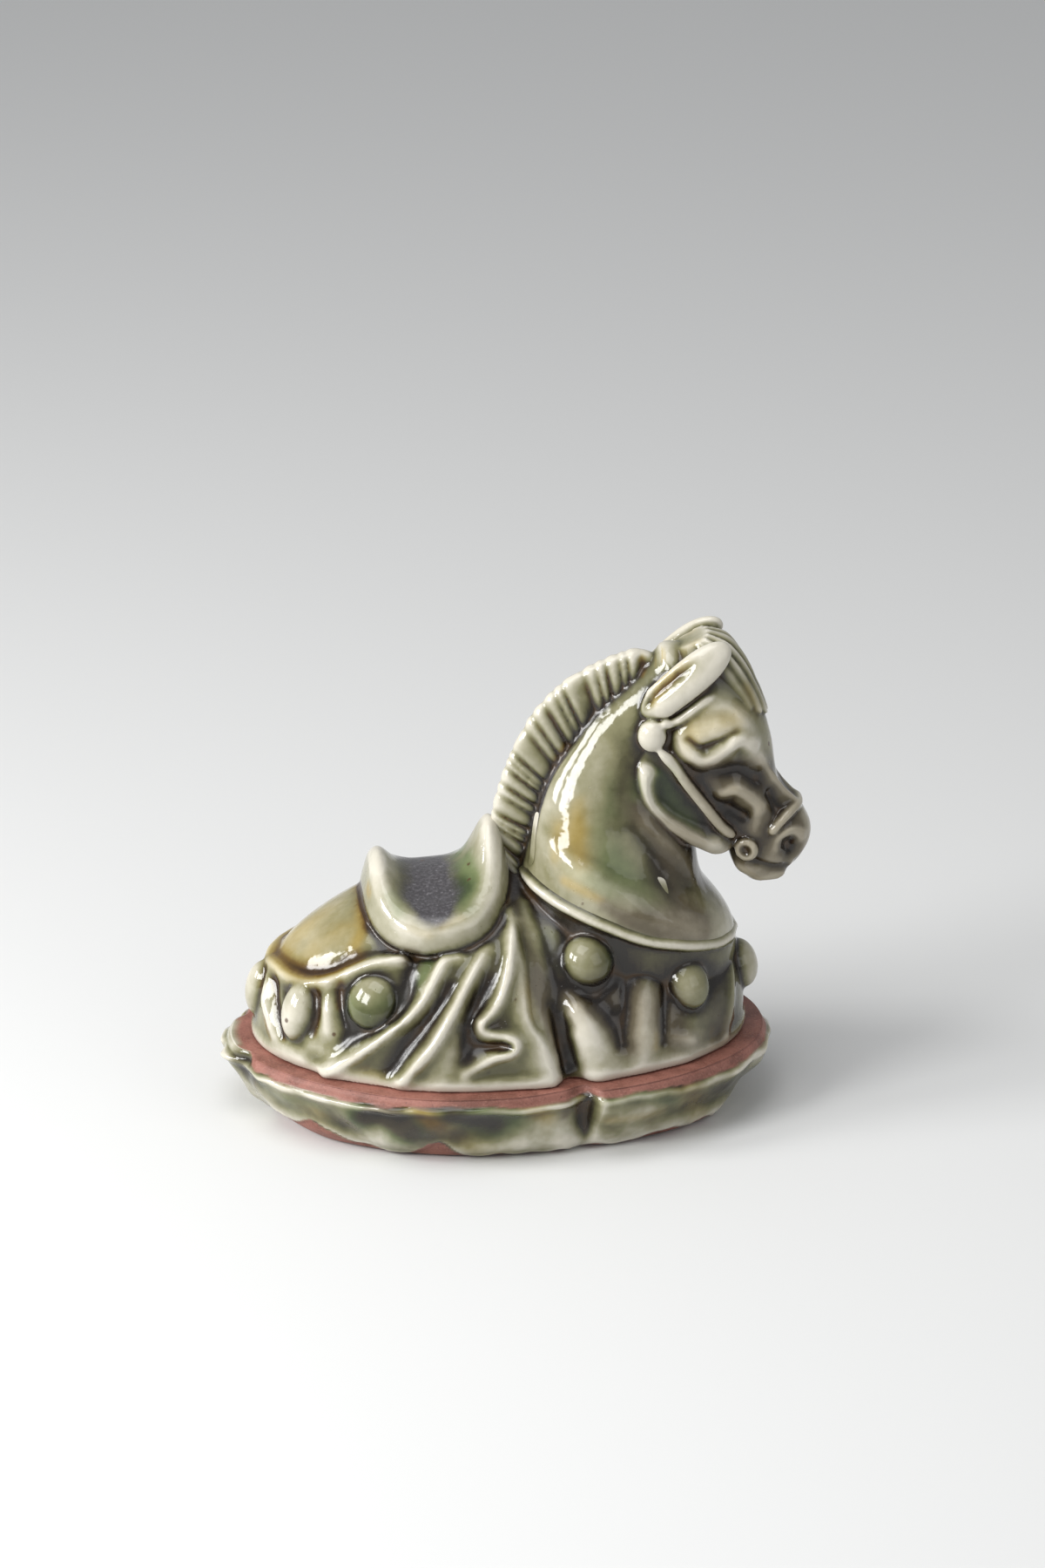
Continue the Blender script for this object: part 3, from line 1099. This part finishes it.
bodyStains = dict(
    metal=[
        ([(690, 1158), (706, 1174)], 1.0, 0.5),
        ([(592, 980), (590, 1030)], 0.8, 0.6), ([(648, 1204), (651, 1234)], 0.7, 0.7),
    ],
    dark=[
        ([(426, 1060), (438, 1076), (456, 1090), (474, 1096)], (0.7, 0.8), (0.5, 0.8)),
        ([(500, 1099), (545, 1087), (575, 1068)], 0.6, (0.3, 0.5)),
        ([(473, 1098), (469, 1120), (466, 1146)], (0.9, 0.7), (0.9, 0.8, 0.3)),
        ([(518, 1132), (500, 1160), (482, 1186), (462, 1208), (446, 1228)], (0.7, 1.1),
         (0.3, 0.7, 0.7, 0.4)),
        ([(558, 1130), (546, 1158), (540, 1184), (538, 1208)], (0.7, 1.0), (0.3, 0.7, 0.9)),
        ([(592, 980), (590, 1030), (600, 1070), (612, 1110), (622, 1150), (638, 1190), (650, 1232)],
         (1.0, 0.8, 0.8, 1.1), (0.9, 0.8, 0.7, 0.8, 1.1)),
        ([(642, 1130), (662, 1142), (690, 1138), (706, 1116), (704, 1092)], (0.8, 0.9), 0.7),
        ([(690, 1156), (706, 1172), (714, 1196)], (1.4, 1.1), (0.9, 1.0, 0.8)),
        ([(768, 1134), (780, 1158), (806, 1160)], 0.5, 0.5),
        ([(720, 1094), (762, 1096), (830, 1096)], 0.6, 0.5),
        ([(632, 1062), (650, 1074), (640, 1100)], 0.8, (0.2, 0.5, 0.5)),
        ([(626, 1130), (650, 1150), (690, 1150), (712, 1140)], 2.8, 0.6),
        ([(716, 1110), (722, 1160), (722, 1200)], 1.6, 0.7),
        ([(770, 1176), (800, 1200), (830, 1190)], 2.2, 0.5),
        ([(764, 1096), (762, 1150), (770, 1190)], 1.7, 0.7),
        ([(806, 1100), (822, 1150), (828, 1190)], (2.0, 2.4), 0.6),
        ([(560, 1125), (545, 1160), (530, 1215)], 2.0, 0.35), ([(515, 1140), (485, 1190)], 2.2, 0.35),
    ],
    amber=[
        ([(318, 1098), (330, 1111), (355, 1119), (385, 1114), (412, 1101)], (0.9, 1.1, 1.0),
         (0.7, 1.1, 1.0, 0.7)),
        ([(322, 1080), (345, 1058), (372, 1038)], (2.4, 2.8), (0.8, 0.8, 0.6)),
        ([(360, 1090), (395, 1070)], 2.0, 0.45),
        ([(404, 1090), (416, 1068), (416, 1044), (416, 1026)], 0.7, (0.5, 0.9, 0.9)),
        ([(608, 1024), (622, 1041), (645, 1055), (672, 1066)], 0.5, (0.9, 0.9, 0.5)),
        ([(602, 1112), (603, 1140), (606, 1168)], 0.9, (0.4, 0.8, 0.5)),
        ([(560, 1200), (576, 1201)], 0.7, 0.8),
        ([(316, 1126), (318, 1158), (328, 1192)], 0.5, 0.7),
        ([(365, 1140), (366, 1162), (362, 1188)], 0.5, 0.6),
        ([(392, 1128), (390, 1156)], 0.5, 0.7), ([(304, 1116), (302, 1146), (306, 1176)], 0.4, 0.6),
        ([(682, 1184), (683, 1192)], 0.45, 1.2), ([(752, 1186), (751, 1202)], 0.45, 0.9),
        ([(818, 1180), (816, 1198)], 0.5, 0.8),
        ([(722, 1110), (730, 1150), (736, 1200)], (1.4, 1.8), 0.3), ([(400, 1222), (440, 1236)], 0.9, 0.5),
    ],
    green=[
        ([(672, 1104), (692, 1106)], 2.0, (0.5, 0.9)), ([(786, 1128), (796, 1136)], 1.8, 0.5),
        ([(408, 1154), (426, 1162), (442, 1154)], 1.9, 0.7), ([(340, 1166), (344, 1176)], 1.2, 0.4),
        ([(490, 1106), (484, 1124)], 1.0, 0.8), ([(806, 1142), (814, 1120)], 0.8, 0.4),
        ([(790, 1190), (800, 1150)], 1.2, 0.3),
        ([(628, 1076), (640, 1112)], 1.4, 0.3), ([(340, 1070), (380, 1050)], 1.6, 0.3),
    ],
)
saddleStains = dict(
    metal=[([(491, 986), (493, 1004), (494, 1022), (500, 1046)], (2.5, 2.5, 2.8, 1.9), 1.4)],
    dark=[([(516, 985), (522, 1010), (518, 1040), (506, 1058)], 0.7, (0.3, 0.6, 0.5)),
          ([(560, 1040), (572, 1060)], 0.9, 0.4)],
    amber=[([(508, 1064), (530, 1056)], 0.6, 0.8), ([(424, 1018), (426, 1026)], 0.5, 0.9),
           ([(434, 1002), (434, 1006)], 0.4, 1.1),
           ([(470, 1066), (492, 1074)], 0.8, 0.4), ([(440, 990), (446, 1020)], 0.8, 0.4)],
    green=[([(534, 985), (536, 1010), (532, 1040)], (1.5, 1.9), (1.0, 1.1, 0.7)),
           ([(458, 1050), (448, 1032)], 1.1, 0.7)],
)
neckStains = dict(
    metal=[([(668, 846), (642, 874), (626, 902), (616, 934), (611, 962)], (0.4, 0.6, 0.6),
            (0.4, 0.9, 1.1, 0.8))],
    dark=[
        ([(734, 928), (760, 952), (790, 975), (806, 1000)], (0.8, 1.4), (0.6, 1.0)),
        ([(694, 1040), (722, 1056), (760, 1066), (804, 1070)], (0.9, 1.5), (0.6, 0.9, 1.0)),
        ([(724, 866), (716, 905), (730, 942), (768, 972), (800, 1004)], 1.3, (0.4, 0.7, 0.8)),
        ([(766, 1000), (790, 1050)], (2.8, 3.4), 0.8), ([(700, 1010), (740, 1045)], 2.2, 0.4),
    ],
    amber=[
        ([(664, 922), (662, 956), (668, 990)], (1.2, 1.6), (0.6, 1.0, 0.6)),
        ([(640, 950), (636, 984)], 1.0, 0.5),
        ([(650, 856), (634, 884)], 0.5, 0.9), ([(648, 1012), (690, 1034)], 0.6, 0.7),
    ],
    green=[
        ([(690, 960), (712, 1000), (744, 1030)], (2.0, 2.6), (0.5, 0.9, 0.7)),
        ([(652, 996), (700, 1026)], 1.3, 0.4),
        ([(702, 890), (700, 930)], 1.0, 0.4), ([(730, 900), (726, 930)], 0.9, 0.5),
    ],
)
headStains = dict(
    metal=[],
    dark=[
        ([(800, 886), (830, 888), (860, 890), (880, 902)], (1.7, 2.2), (0.9, 1.2)),
        ([(836, 930), (852, 938)], 1.6, 1.0), ([(884, 912), (892, 928)], 1.6, 1.1),
        ([(850, 992), (876, 986), (900, 994)], 2.2, (0.8, 1.1)), ([(911, 976), (914, 978)], 1.1, 1.3),
        ([(864, 940), (876, 966)], 2.0, 1.0), ([(818, 912), (832, 930)], 1.6, 0.7),
        ([(790, 786), (812, 786), (836, 770)], 1.0, 0.5), ([(826, 896), (858, 914), (882, 944)], 3.0, 0.6),
        ([(892, 930), (906, 958), (916, 986)], 2.4, 0.6), ([(858, 1002), (902, 1008)], 2.6, 0.8),
    ],
    amber=[([(796, 842), (815, 832), (838, 828)], 1.6, 0.8), ([(859, 973), (860, 974)], 0.4, 1.0),
           ([(826, 900), (846, 918)], 1.4, 0.3), ([(790, 866), (800, 880)], 0.8, 0.4),
           ([(856, 790), (868, 812)], 1.0, 0.5)],
    green=[([(800, 900), (820, 920)], 1.0, 0.3), ([(778, 808), (800, 796)], 0.9, 0.4)],
)
flatStains = dict(
    # beside the head rather than on it: the line's y, in mm, comes last
    metal=[], dark=[([(764, 938), (790, 958), (806, 968)], 0.7, 0.6, 5.2),
                    ([(738, 880), (732, 900), (740, 926)], 0.6, 0.5, 4.4)],
    amber=[([(748, 806), (762, 786), (782, 768), (800, 756)], 0.65, (0.7, 1.1, 0.8, 0.3), 5.2),
           ([(770, 770), (800, 735)], 0.9, 0.5, 2.0)],
    green=[([(766, 888), (766, 908), (778, 928), (796, 946)], 1.4, 1.0, 5.2)],
)


def nearSaddle(pixels):
    # places over the body at the height of the saddle's bowl
    return overSaddle(*spotOn(overSaddle, pixels, body["steepest"]))


def overSaddle(angle, climb):
    # the body grown by the saddle's thickness
    return bodyAt(angle, climb, saddle["thickness"] + saddle["bulge"])


def bodyStained(points, name):
    # the lines on the lid's body and on the saddle
    return marked(points, bodyStains[name], nearBody) + marked(points, saddleStains[name], nearSaddle)


def markedBeside(points, marks):
    # marks that lie beside the head, each on its own plane
    total = np.zeros(len(points))
    for *mark, y in marks:
        total += marked(points, [mark], lambda spots: onPlane(spots, np.full(len(spots), -y)))
    return total


def headStained(points, name):
    # the lines on the neck, on the head and beside it, and the mane's grooves
    total = marked(points, neckStains[name], nearNeck) + marked(points, headStains[name], nearHead)
    total += markedBeside(points, flatStains[name])
    if name in mane["stains"]:
        total += maneGrooves(points) * mane["stains"][name]
    return total


def planAngle(points):
    # the tray's plan angle of each point
    return np.arctan2(points[:, 1] / body["halfWidth"], points[:, 0] / body["halfLength"])


def onTray(angle, level):
    # the tray's outer side at a share of its height
    place = bodyAt(angle, 0.0, ledgeAt(angle), crease=tray["crease"])
    return np.stack([place[..., 0], place[..., 1], level * body["seam"] + 0 * place[..., 0]], -1)


def nearTray(pixels):
    # places on the tray's near side
    return onTray(*spotOn(onTray, pixels))


trayStains = dict(
    green=[
        ([(412, 1284), (430, 1276), (452, 1284), (466, 1300)], (1.5, 2.1), (1.2, 1.6)),
        ([(516, 1274), (540, 1280), (562, 1296), (588, 1290)], (1.5, 2.0), (1.3, 1.6, 0.9)),
        ([(700, 1262), (740, 1258), (780, 1262)], 1.0, 0.6), ([(330, 1262), (360, 1272)], 1.0, 0.6),
    ],
    dark=[
        ([(418, 1284), (440, 1282), (462, 1296)], 1.2, 1.1),
        ([(520, 1278), (548, 1286), (572, 1296)], 1.2, 1.2),
        ([(648, 1246), (650, 1280)], 0.8, 0.9), ([(822, 1246), (846, 1250), (872, 1236)], (1.2, 1.6), 0.7),
        ([(272, 1214), (290, 1240)], 1.2, 0.6),
    ],
    amber=[
        ([(664, 1244), (664, 1262), (667, 1276)], 0.55, (0.6, 1.2, 1.0)),
        ([(360, 1280), (396, 1296)], 0.8, 0.7),
        ([(476, 1262), (500, 1290)], 1.1, 0.6), ([(600, 1262), (630, 1286)], 1.2, 0.6),
        ([(700, 1290), (760, 1284)], 1.1, 0.6),
    ],
    metal=[],
)


# faint patches: the waves' seed and highest number, and the level above which they show
trayClouds = dict(amber=(31, 13, 0.3), green=(21, 15, 0.5), dark=(41, 17, 0.5), slant=0.03, strength=0.5)


def trayStained(points, name):
    # the lines on the side, over faint patches all round
    total = marked(points, trayStains[name], nearTray)
    if name != "metal":
        seed, high, least = trayClouds[name]
        share = waves(planAngle(points) + points[:, 2] * trayClouds["slant"], 3, high, seed)
        total += np.maximum(0, share - least) * trayClouds["strength"]
    return total


def underRim(points):
    # the rim's underside and the hollow are bare
    return points[:, 2] < body["seam"] + body["bareRim"]


def trayClay(points):
    # bare but for the band on the outer side, and for a lip of glaze that runs over the ledge at the tail
    angle = planAngle(points)
    share = np.hypot(points[:, 0] / body["halfLength"], points[:, 1] / body["halfWidth"])
    out = np.hypot(points[:, 0], points[:, 1]) * (1 - 1 / np.maximum(share, 1e-3))
    lip = tray["lip"] * bell(np.abs(np.abs(angle) - np.pi), tray["lipWidth"])
    side = smooth((glazeTopAt(angle) - points[:, 2]) / tray["lipEdge"])
    ledge = smooth((out - ledgeAt(angle) + lip) / tray["lipEdge"]) * (lip > 0.1)
    above = smooth((points[:, 2] - glazeFootAt(angle)) / tray["footEdge"])
    return 1 - np.maximum(side, ledge) * above * (out > tray["wellSide"])


trayDeep = [([(412, 1286), (440, 1282), (466, 1300)], (1.5, 2.1), 0.4),
            ([(516, 1276), (548, 1286), (588, 1294)], (1.5, 1.9), 0.4),
            ([(826, 1246), (850, 1246), (876, 1230)], 1.4, 0.3), ([(276, 1216), (296, 1246)], 1.2, 0.3),
            ([(700, 1264), (760, 1262)], 1.0, 0.2)]
deepLines = [([(684, 1114), (696, 1108)], 2.4, 0.6), ([(794, 1138), (804, 1130)], 2.1, 0.6),
             ([(426, 1162), (442, 1154)], 2.2, 0.45), ([(842, 1128), (846, 1180)], 2.5, 0.3)]


def ridges(points, marks, place):
    # a share of the marks' own height, within a range
    return glazeDepth["relief"] * np.clip(marked(points, marks, place), *glazeDepth["range"])


def bodyThin(points):
    # thinner on the folds' ridges, and deeper on the bosses
    return ridges(points, saddleCloth + shoulder + rump, nearBody) - marked(points, deepLines, nearBody)


def trayThin(points):
    # deeper in the side's pools
    return glazeDepth["trayLevel"] - marked(points, trayDeep, nearTray)


def headThin(points):
    # thinner on the head's modelling, on the jaw's rim and on the ears' rims
    return ridges(points, headMarks, nearHead) + markedBeside(points, paleLines)


paleLines = [
    ([(752, 874), (744, 890), (742, 906), (750, 926), (767, 945), (787, 960), (806, 972), (824, 982)], 0.75,
     0.4, 5.8),
    ([(760, 822), (784, 797), (812, 772), (834, 748)], 0.7, 0.3, 5.6),
    ([(757, 862), (796, 908), (843, 960)], 0.5, 0.25, 5.8),
    ([(748, 850), (752, 850)], 1.2, 0.25, 6.5), ([(758, 832), (786, 822), (820, 799)], 0.4, 0.25, 5.6),
]
glazeMasks(lidBody, fusing["bodyVoxel"], bodyStained, bodyThin, underRim)
glazeMasks(headForm, fusing["headVoxel"], headStained, headThin, lambda points: np.zeros(len(points)))
glazeMasks(trayForm, glazeDepth["trayVoxel"], trayStained, trayThin, trayClay)
print("stage: masks")


# materials: node groups first

def plug(tree, socket, value):
    # a socket linked to another one, or set to a value
    if hasattr(value, "is_output"):
        tree.links.new(value, socket)
    else:
        socket.default_value = value


def addNode(tree, kind, **values):
    # a node with its settings and sockets filled in by name, laid out in rows of eight
    made = tree.nodes.new(kind)
    made.location = 220 * (len(tree.nodes) % 8), -300 * (len(tree.nodes) // 8)
    for key, value in values.items():
        if key in made.inputs:
            plug(tree, made.inputs[key], value)
        else:
            setattr(made, key, value)
    return made


def groupOf(name, labels):
    # a node group that takes numbers by name and puts out a colour, a roughness and a height
    tree = bpy.data.node_groups.new(name, "ShaderNodeTree")
    for label in labels:
        tree.interface.new_socket(name=label, in_out="INPUT", socket_type="NodeSocketFloat")
    for label, kind in (("Color", "Color"), ("Roughness", "Float"), ("Height", "Float")):
        tree.interface.new_socket(name=label, in_out="OUTPUT", socket_type="NodeSocket" + kind)
    where = addNode(tree, "ShaderNodeTexCoord").outputs["Object"]
    return tree, addNode(tree, "NodeGroupInput").outputs, addNode(tree, "NodeGroupOutput").inputs, where


def blendOf(tree, factor, a, b, kind="RGBA"):
    # a to b by a factor, for colours or numbers; each may be a socket or a value
    made = addNode(tree, "ShaderNodeMix", data_type=kind)
    first, out = (6, 2) if kind == "RGBA" else (2, 0)
    for socket, value in ((0, factor), (first, a), (first + 1, b)):
        plug(tree, made.inputs[socket], value)
    return made.outputs[out]


def mathOf(tree, operation, *values):
    # one arithmetic step on sockets or numbers
    made = addNode(tree, "ShaderNodeMath", operation=operation)
    for socket, value in zip(made.inputs, values):
        plug(tree, socket, value)
    return made.outputs[0]


def sumOf(tree, start, *terms):
    # start + value * factor for each term
    for value, factor in terms:
        start = mathOf(tree, "MULTIPLY_ADD", value, factor, start)
    return start


def wobbled(tree, value, noise, amount):
    # value + amount * (noise - 0.5)
    return sumOf(tree, value, (mathOf(tree, "SUBTRACT", noise, 0.5), amount))


def rangeOf(tree, value, low, high):
    # smooth step of a socket from low to high
    made = addNode(tree, "ShaderNodeMapRange", interpolation_type="SMOOTHSTEP", Value=value)
    plug(tree, made.inputs["From Min"], low)
    plug(tree, made.inputs["From Max"], high)
    return made.outputs["Result"]


def noiseOf(tree, where, scale, detail, rough):
    # noise on object coordinates, scale per metre
    made = addNode(tree, "ShaderNodeTexNoise", Vector=where, Scale=scale, Detail=detail, Roughness=rough)
    return made.outputs["Fac"]


def cellsOf(tree, where, scale, low, high):
    # 1 at the middles of many cells, fading from the distance high to the distance low
    made = addNode(tree, "ShaderNodeTexVoronoi", Vector=where, Scale=scale)
    return rangeOf(tree, made.outputs["Distance"], low, high)


def rampOf(tree, value, stops):
    # colours along a value
    made = addNode(tree, "ShaderNodeValToRGB", Fac=value)
    elements = made.color_ramp.elements
    while len(elements) < len(stops):
        elements.new(0.5)
    for element, (spot, colour) in zip(elements, stops):
        element.position, element.color = spot, (*colour, 1)
    return made.outputs["Color"]


glazeColours = dict(
    plain=[(0.0, (0.014, 0.011, 0.008)), (0.2, (0.042, 0.037, 0.02)), (0.4, (0.102, 0.097, 0.045)),
           (0.6, (0.215, 0.203, 0.112)), (0.8, (0.38, 0.358, 0.262)), (1.0, (0.6, 0.566, 0.475))],
    amber=[(0.0, (0.03, 0.014, 0.004)), (0.3, (0.115, 0.066, 0.012)), (0.6, (0.27, 0.2, 0.058)),
           (1.0, (0.52, 0.44, 0.24))],
    green=[(0.0, (0.012, 0.018, 0.008)), (0.3, (0.045, 0.064, 0.02)), (0.6, (0.13, 0.16, 0.065)),
           (1.0, (0.4, 0.42, 0.28))],
    dark=[(0.0, (0.01, 0.007, 0.005)), (0.35, (0.035, 0.026, 0.015)), (0.7, (0.11, 0.09, 0.055)),
          (1.0, (0.34, 0.3, 0.22))],
    metal=[(0.42, (0.05, 0.046, 0.049)), (0.66, (0.096, 0.09, 0.096)), (0.8, (0.27, 0.26, 0.27))],
)
# noises are scale per metre, detail and roughness; cells are scale per metre and two distances; masks are
# the shares of each mask in the level of the glaze; a stain has a wobble and the two values that it fades
# between. bumpDepth is in metres
glaze = dict(
    noises=dict(cloud=(150, 3, 0.5), fine=(900, 4, 0.6), patch=(260, 3, 0.6), speckle=(2600, 2, 0.6),
                spotted=(300, 1, 0.5), pitted=(520, 1, 0.5), ripple=(420, 2, 0.5)),
    spots=(420, 0.17, 0.09), spotted=(0.62, 0.68), spotShare=0.8, spotColour=(0.06, 0.022, 0.008, 1),
    pits=(1500, 0.16, 0.05), pitted=(0.56, 0.64), pitShare=0.5,
    masks=(("Thin", 1.1), ("Pool", -0.3), ("Line", -0.16)), fine=0.14,
    stains=(("Green", 0.5, 0.1, 1.0), ("Amber", 0.5, 0.1, 1.0), ("Dark", 0.5, 0.1, 1.1)),
    line=(1.2, 0.35, 1.3), lineShare=0.55, lineColour=(0.085, 0.045, 0.014, 1), metal=(0.45, 0.3, 0.85),
    rough=0.05, roughFine=0.08, roughMetal=0.16, roughPool=0.3, bumpDepth=0.0002, index=1.52,
)
maskNames = ("Thin", "Line", "Pool", "Amber", "Green", "Dark", "Metal")


def glazeGroup():
    # colour from how deep the glaze lies: dark in pools, olive to celadon between, cream where it is thin
    tree, mask, sink, where = groupOf("glazeDepth", ("Mottle",) + maskNames)
    noise = {key: noiseOf(tree, where, *values) for key, values in glaze["noises"].items()}
    level = sumOf(tree, 0.0, *((mask[label], share) for label, share in glaze["masks"]))
    level = wobbled(tree, wobbled(tree, level, noise["cloud"], mask["Mottle"]), noise["fine"], glaze["fine"])

    def stained(label, wobble, low, high):
        return rangeOf(tree, wobbled(tree, mask[label], noise["patch"], wobble), low, high)

    colour = rampOf(tree, level, glazeColours["plain"])
    for label, *ends in glaze["stains"]:
        tint = rampOf(tree, level, glazeColours[label.lower()])
        colour = blendOf(tree, stained(label, *ends), colour, tint)
    brown = mathOf(tree, "MULTIPLY", stained("Line", *glaze["line"]), glaze["lineShare"])
    colour = blendOf(tree, brown, colour, glaze["lineColour"])
    # dark metallic pools, with fine pale speckle
    pooled = stained("Metal", *glaze["metal"])
    colour = blendOf(tree, pooled, colour, rampOf(tree, noise["speckle"], glazeColours["metal"]))
    # iron spots and pinholes: the middles of sparse cells
    spots, pits = (mathOf(tree, "MULTIPLY", cellsOf(tree, where, *glaze[cells]),
                          rangeOf(tree, noise[sparse], *glaze[sparse]))
                   for cells, sparse in (("spots", "spotted"), ("pits", "pitted")))
    spots = mathOf(tree, "MULTIPLY", spots, glaze["spotShare"])
    plug(tree, sink["Color"], blendOf(tree, spots, colour, glaze["spotColour"]))
    plug(tree, sink["Roughness"], sumOf(tree, glaze["rough"], (noise["fine"], glaze["roughFine"]),
                                        (pooled, glaze["roughMetal"]), (mask["Pool"], glaze["roughPool"])))
    plug(tree, sink["Height"], sumOf(tree, noise["ripple"], (pits, -glaze["pitShare"])))
    return tree


clay = dict(cloud=(260, 4, 0.6), grain=(3200, 5, 0.7), clouded=(0.3, 0.8), cloudShare=1.2, flashLevel=0.6,
            brown=(0.15, 0.052, 0.034, 1), red=(0.31, 0.125, 0.092, 1),
            paleGrain=(0.5, 0.8), pale=(0.4, 0.19, 0.145, 1), darkGrain=(0.42, 0.3),
            dark=(0.09, 0.028, 0.02, 1), rough=0.38, roughCloud=0.25, bumpDepth=0.00008)


def clayGroup():
    # red fired clay: a fine grain, darker and browner in clouds
    tree, mask, sink, where = groupOf("firedClay", ("Flash",))
    cloud, grain = (noiseOf(tree, where, *clay[key]) for key in ("cloud", "grain"))
    flash = mathOf(tree, "SUBTRACT", mask["Flash"], clay["flashLevel"])
    share = sumOf(tree, flash, (cloud, clay["cloudShare"]))
    colour = blendOf(tree, rangeOf(tree, share, *clay["clouded"]), clay["brown"], clay["red"])
    for tint in ("pale", "dark"):
        colour = blendOf(tree, rangeOf(tree, grain, *clay[tint + "Grain"]), colour, clay[tint])
    plug(tree, sink["Color"], colour)
    plug(tree, sink["Roughness"], sumOf(tree, clay["rough"], (cloud, clay["roughCloud"])))
    plug(tree, sink["Height"], grain)
    return tree


glazeTree, clayTree = glazeGroup(), clayGroup()


def potteryMaterial(name, flash, bump, mottle):
    # glaze over clay, parted by the clay mask
    material = bpy.data.materials.new(name)
    material.use_nodes = True
    tree = material.node_tree
    shader = tree.nodes["Principled BSDF"].inputs
    masks = {label: addNode(tree, "ShaderNodeAttribute", attribute_name=label.lower()).outputs["Fac"]
             for label in (*maskNames, "Clay")}
    bare = masks.pop("Clay")
    coat = addNode(tree, "ShaderNodeGroup", node_tree=glazeTree, Mottle=mottle, **masks).outputs
    under = addNode(tree, "ShaderNodeGroup", node_tree=clayTree, Flash=flash).outputs
    plug(tree, shader["Base Color"], blendOf(tree, bare, coat["Color"], under["Color"]))
    plug(tree, shader["Roughness"], blendOf(tree, bare, coat["Roughness"], under["Roughness"], "FLOAT"))
    ripple = addNode(tree, "ShaderNodeBump", Strength=bump, Distance=glaze["bumpDepth"],
                     Height=coat["Height"])
    grain = mathOf(tree, "MULTIPLY", under["Height"], bare)
    both = addNode(tree, "ShaderNodeBump", Distance=clay["bumpDepth"], Height=grain)
    plug(tree, both.inputs["Normal"], ripple.outputs["Normal"])
    plug(tree, shader["Normal"], both.outputs["Normal"])
    shader["IOR"].default_value = glaze["index"]
    return material


lidGlaze = potteryMaterial("horseGlaze", 0.4, 0.5, 0.5)
trayGlaze = potteryMaterial("trayGlaze", 0.6, 0.5, 1.5)
lidBody.data.materials.append(lidGlaze)
headForm.data.materials.append(lidGlaze)
trayForm.data.materials.append(trayGlaze)
print("stage: materials")

lidNodes = [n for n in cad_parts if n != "box_tray"]
headParts = ("neck", "head", "mane", "forelock", "ear_", "bridle_", "bit_", "cheek_", "browband", "noseband")
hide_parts(*[n for n in lidNodes if n.startswith(headParts)])
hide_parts(*[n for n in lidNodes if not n.startswith(headParts)])
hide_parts("box_tray")
finishes = ((lidBody, "lid", "glaze"), (headForm, "lid", "glaze"), (trayForm, "tray", "bare_clay"))
for piece, carrier, finish in finishes:
    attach(piece, carrier)


# camera, light and floor: two tall panes on the left as in the photograph, a soft light above and a fill. A
# lamp has a name, two sides, a power and a place, all in metres and watts

studio = dict(sky=(0.95, 0.97, 1, 1), skyStrength=0.4, aim=(0, 0, 0.03), floor=1.4,
              paper=(0.72, 0.72, 0.71, 1), paperRough=0.8, lamps=[
                  ("paneNear", (0.15, 0.17), 1.3, (-0.36, -0.24, 0.25)),
                  ("paneFar", (0.15, 0.17), 1.3, (-0.43, -0.05, 0.25)),
                  ("over", (0.3, 0.3), 0.8, (-0.1, -0.1, 0.45)),
                  ("fill", (0.3, 0.3), 0.25, (0.3, -0.3, 0.25))])


def placed(name, data, axes, spot):
    # an object at a spot, with its own x, y and z along the three axes
    obj = bpy.data.objects.new(name, data)
    bpy.context.collection.objects.link(obj)
    rows = np.stack(axes, 1).tolist()
    obj.matrix_world = Matrix([[*row, p] for row, p in zip(rows, spot)] + [[0, 0, 0, 1]])
    return obj


def softbox(name, size, power, spot):
    # a rectangular lamp at a spot, turned to the box
    lamp = bpy.data.lights.new(name, "AREA")
    lamp.shape = "RECTANGLE"
    lamp.size, lamp.size_y = size
    lamp.energy = power
    away = unit(np.array(spot) - np.array(studio["aim"]))
    side = unit(np.cross([0, 0, 1.0], away))
    placed(name, lamp, (side, np.cross(away, side), away), spot)


lensData = bpy.data.cameras.new("camera")
lensData.lens = camera["lens"]
lensData.sensor_width = camera["sensor"]
lensData.clip_start = camera["near"]
view = placed("camera", lensData, (viewRight, viewUp, viewBack), (viewPlace * mm).tolist())
bpy.context.scene.camera = view
for lamp in studio["lamps"]:
    softbox(*lamp)

world = bpy.data.worlds.new("studio")
bpy.context.scene.world = world
world.use_nodes = True
sky = world.node_tree.nodes["Background"].inputs
sky["Color"].default_value = studio["sky"]
sky["Strength"].default_value = studio["skyStrength"]
bpy.context.scene.view_settings.view_transform = "Standard"

floor = meshOf("floor", [])
far = studio["floor"]
corners = [(-far, -far, 0), (far, -far, 0), (far, far, 0), (-far, far, 0)]
floor.data.from_pydata(corners, [], [(0, 1, 2, 3)])
floor.data.update()
paper = bpy.data.materials.new("floorPaper")
paper.use_nodes = True
paperShader = paper.node_tree.nodes["Principled BSDF"].inputs
paperShader["Base Color"].default_value = studio["paper"]
paperShader["Roughness"].default_value = studio["paperRough"]
floor.data.materials.append(paper)
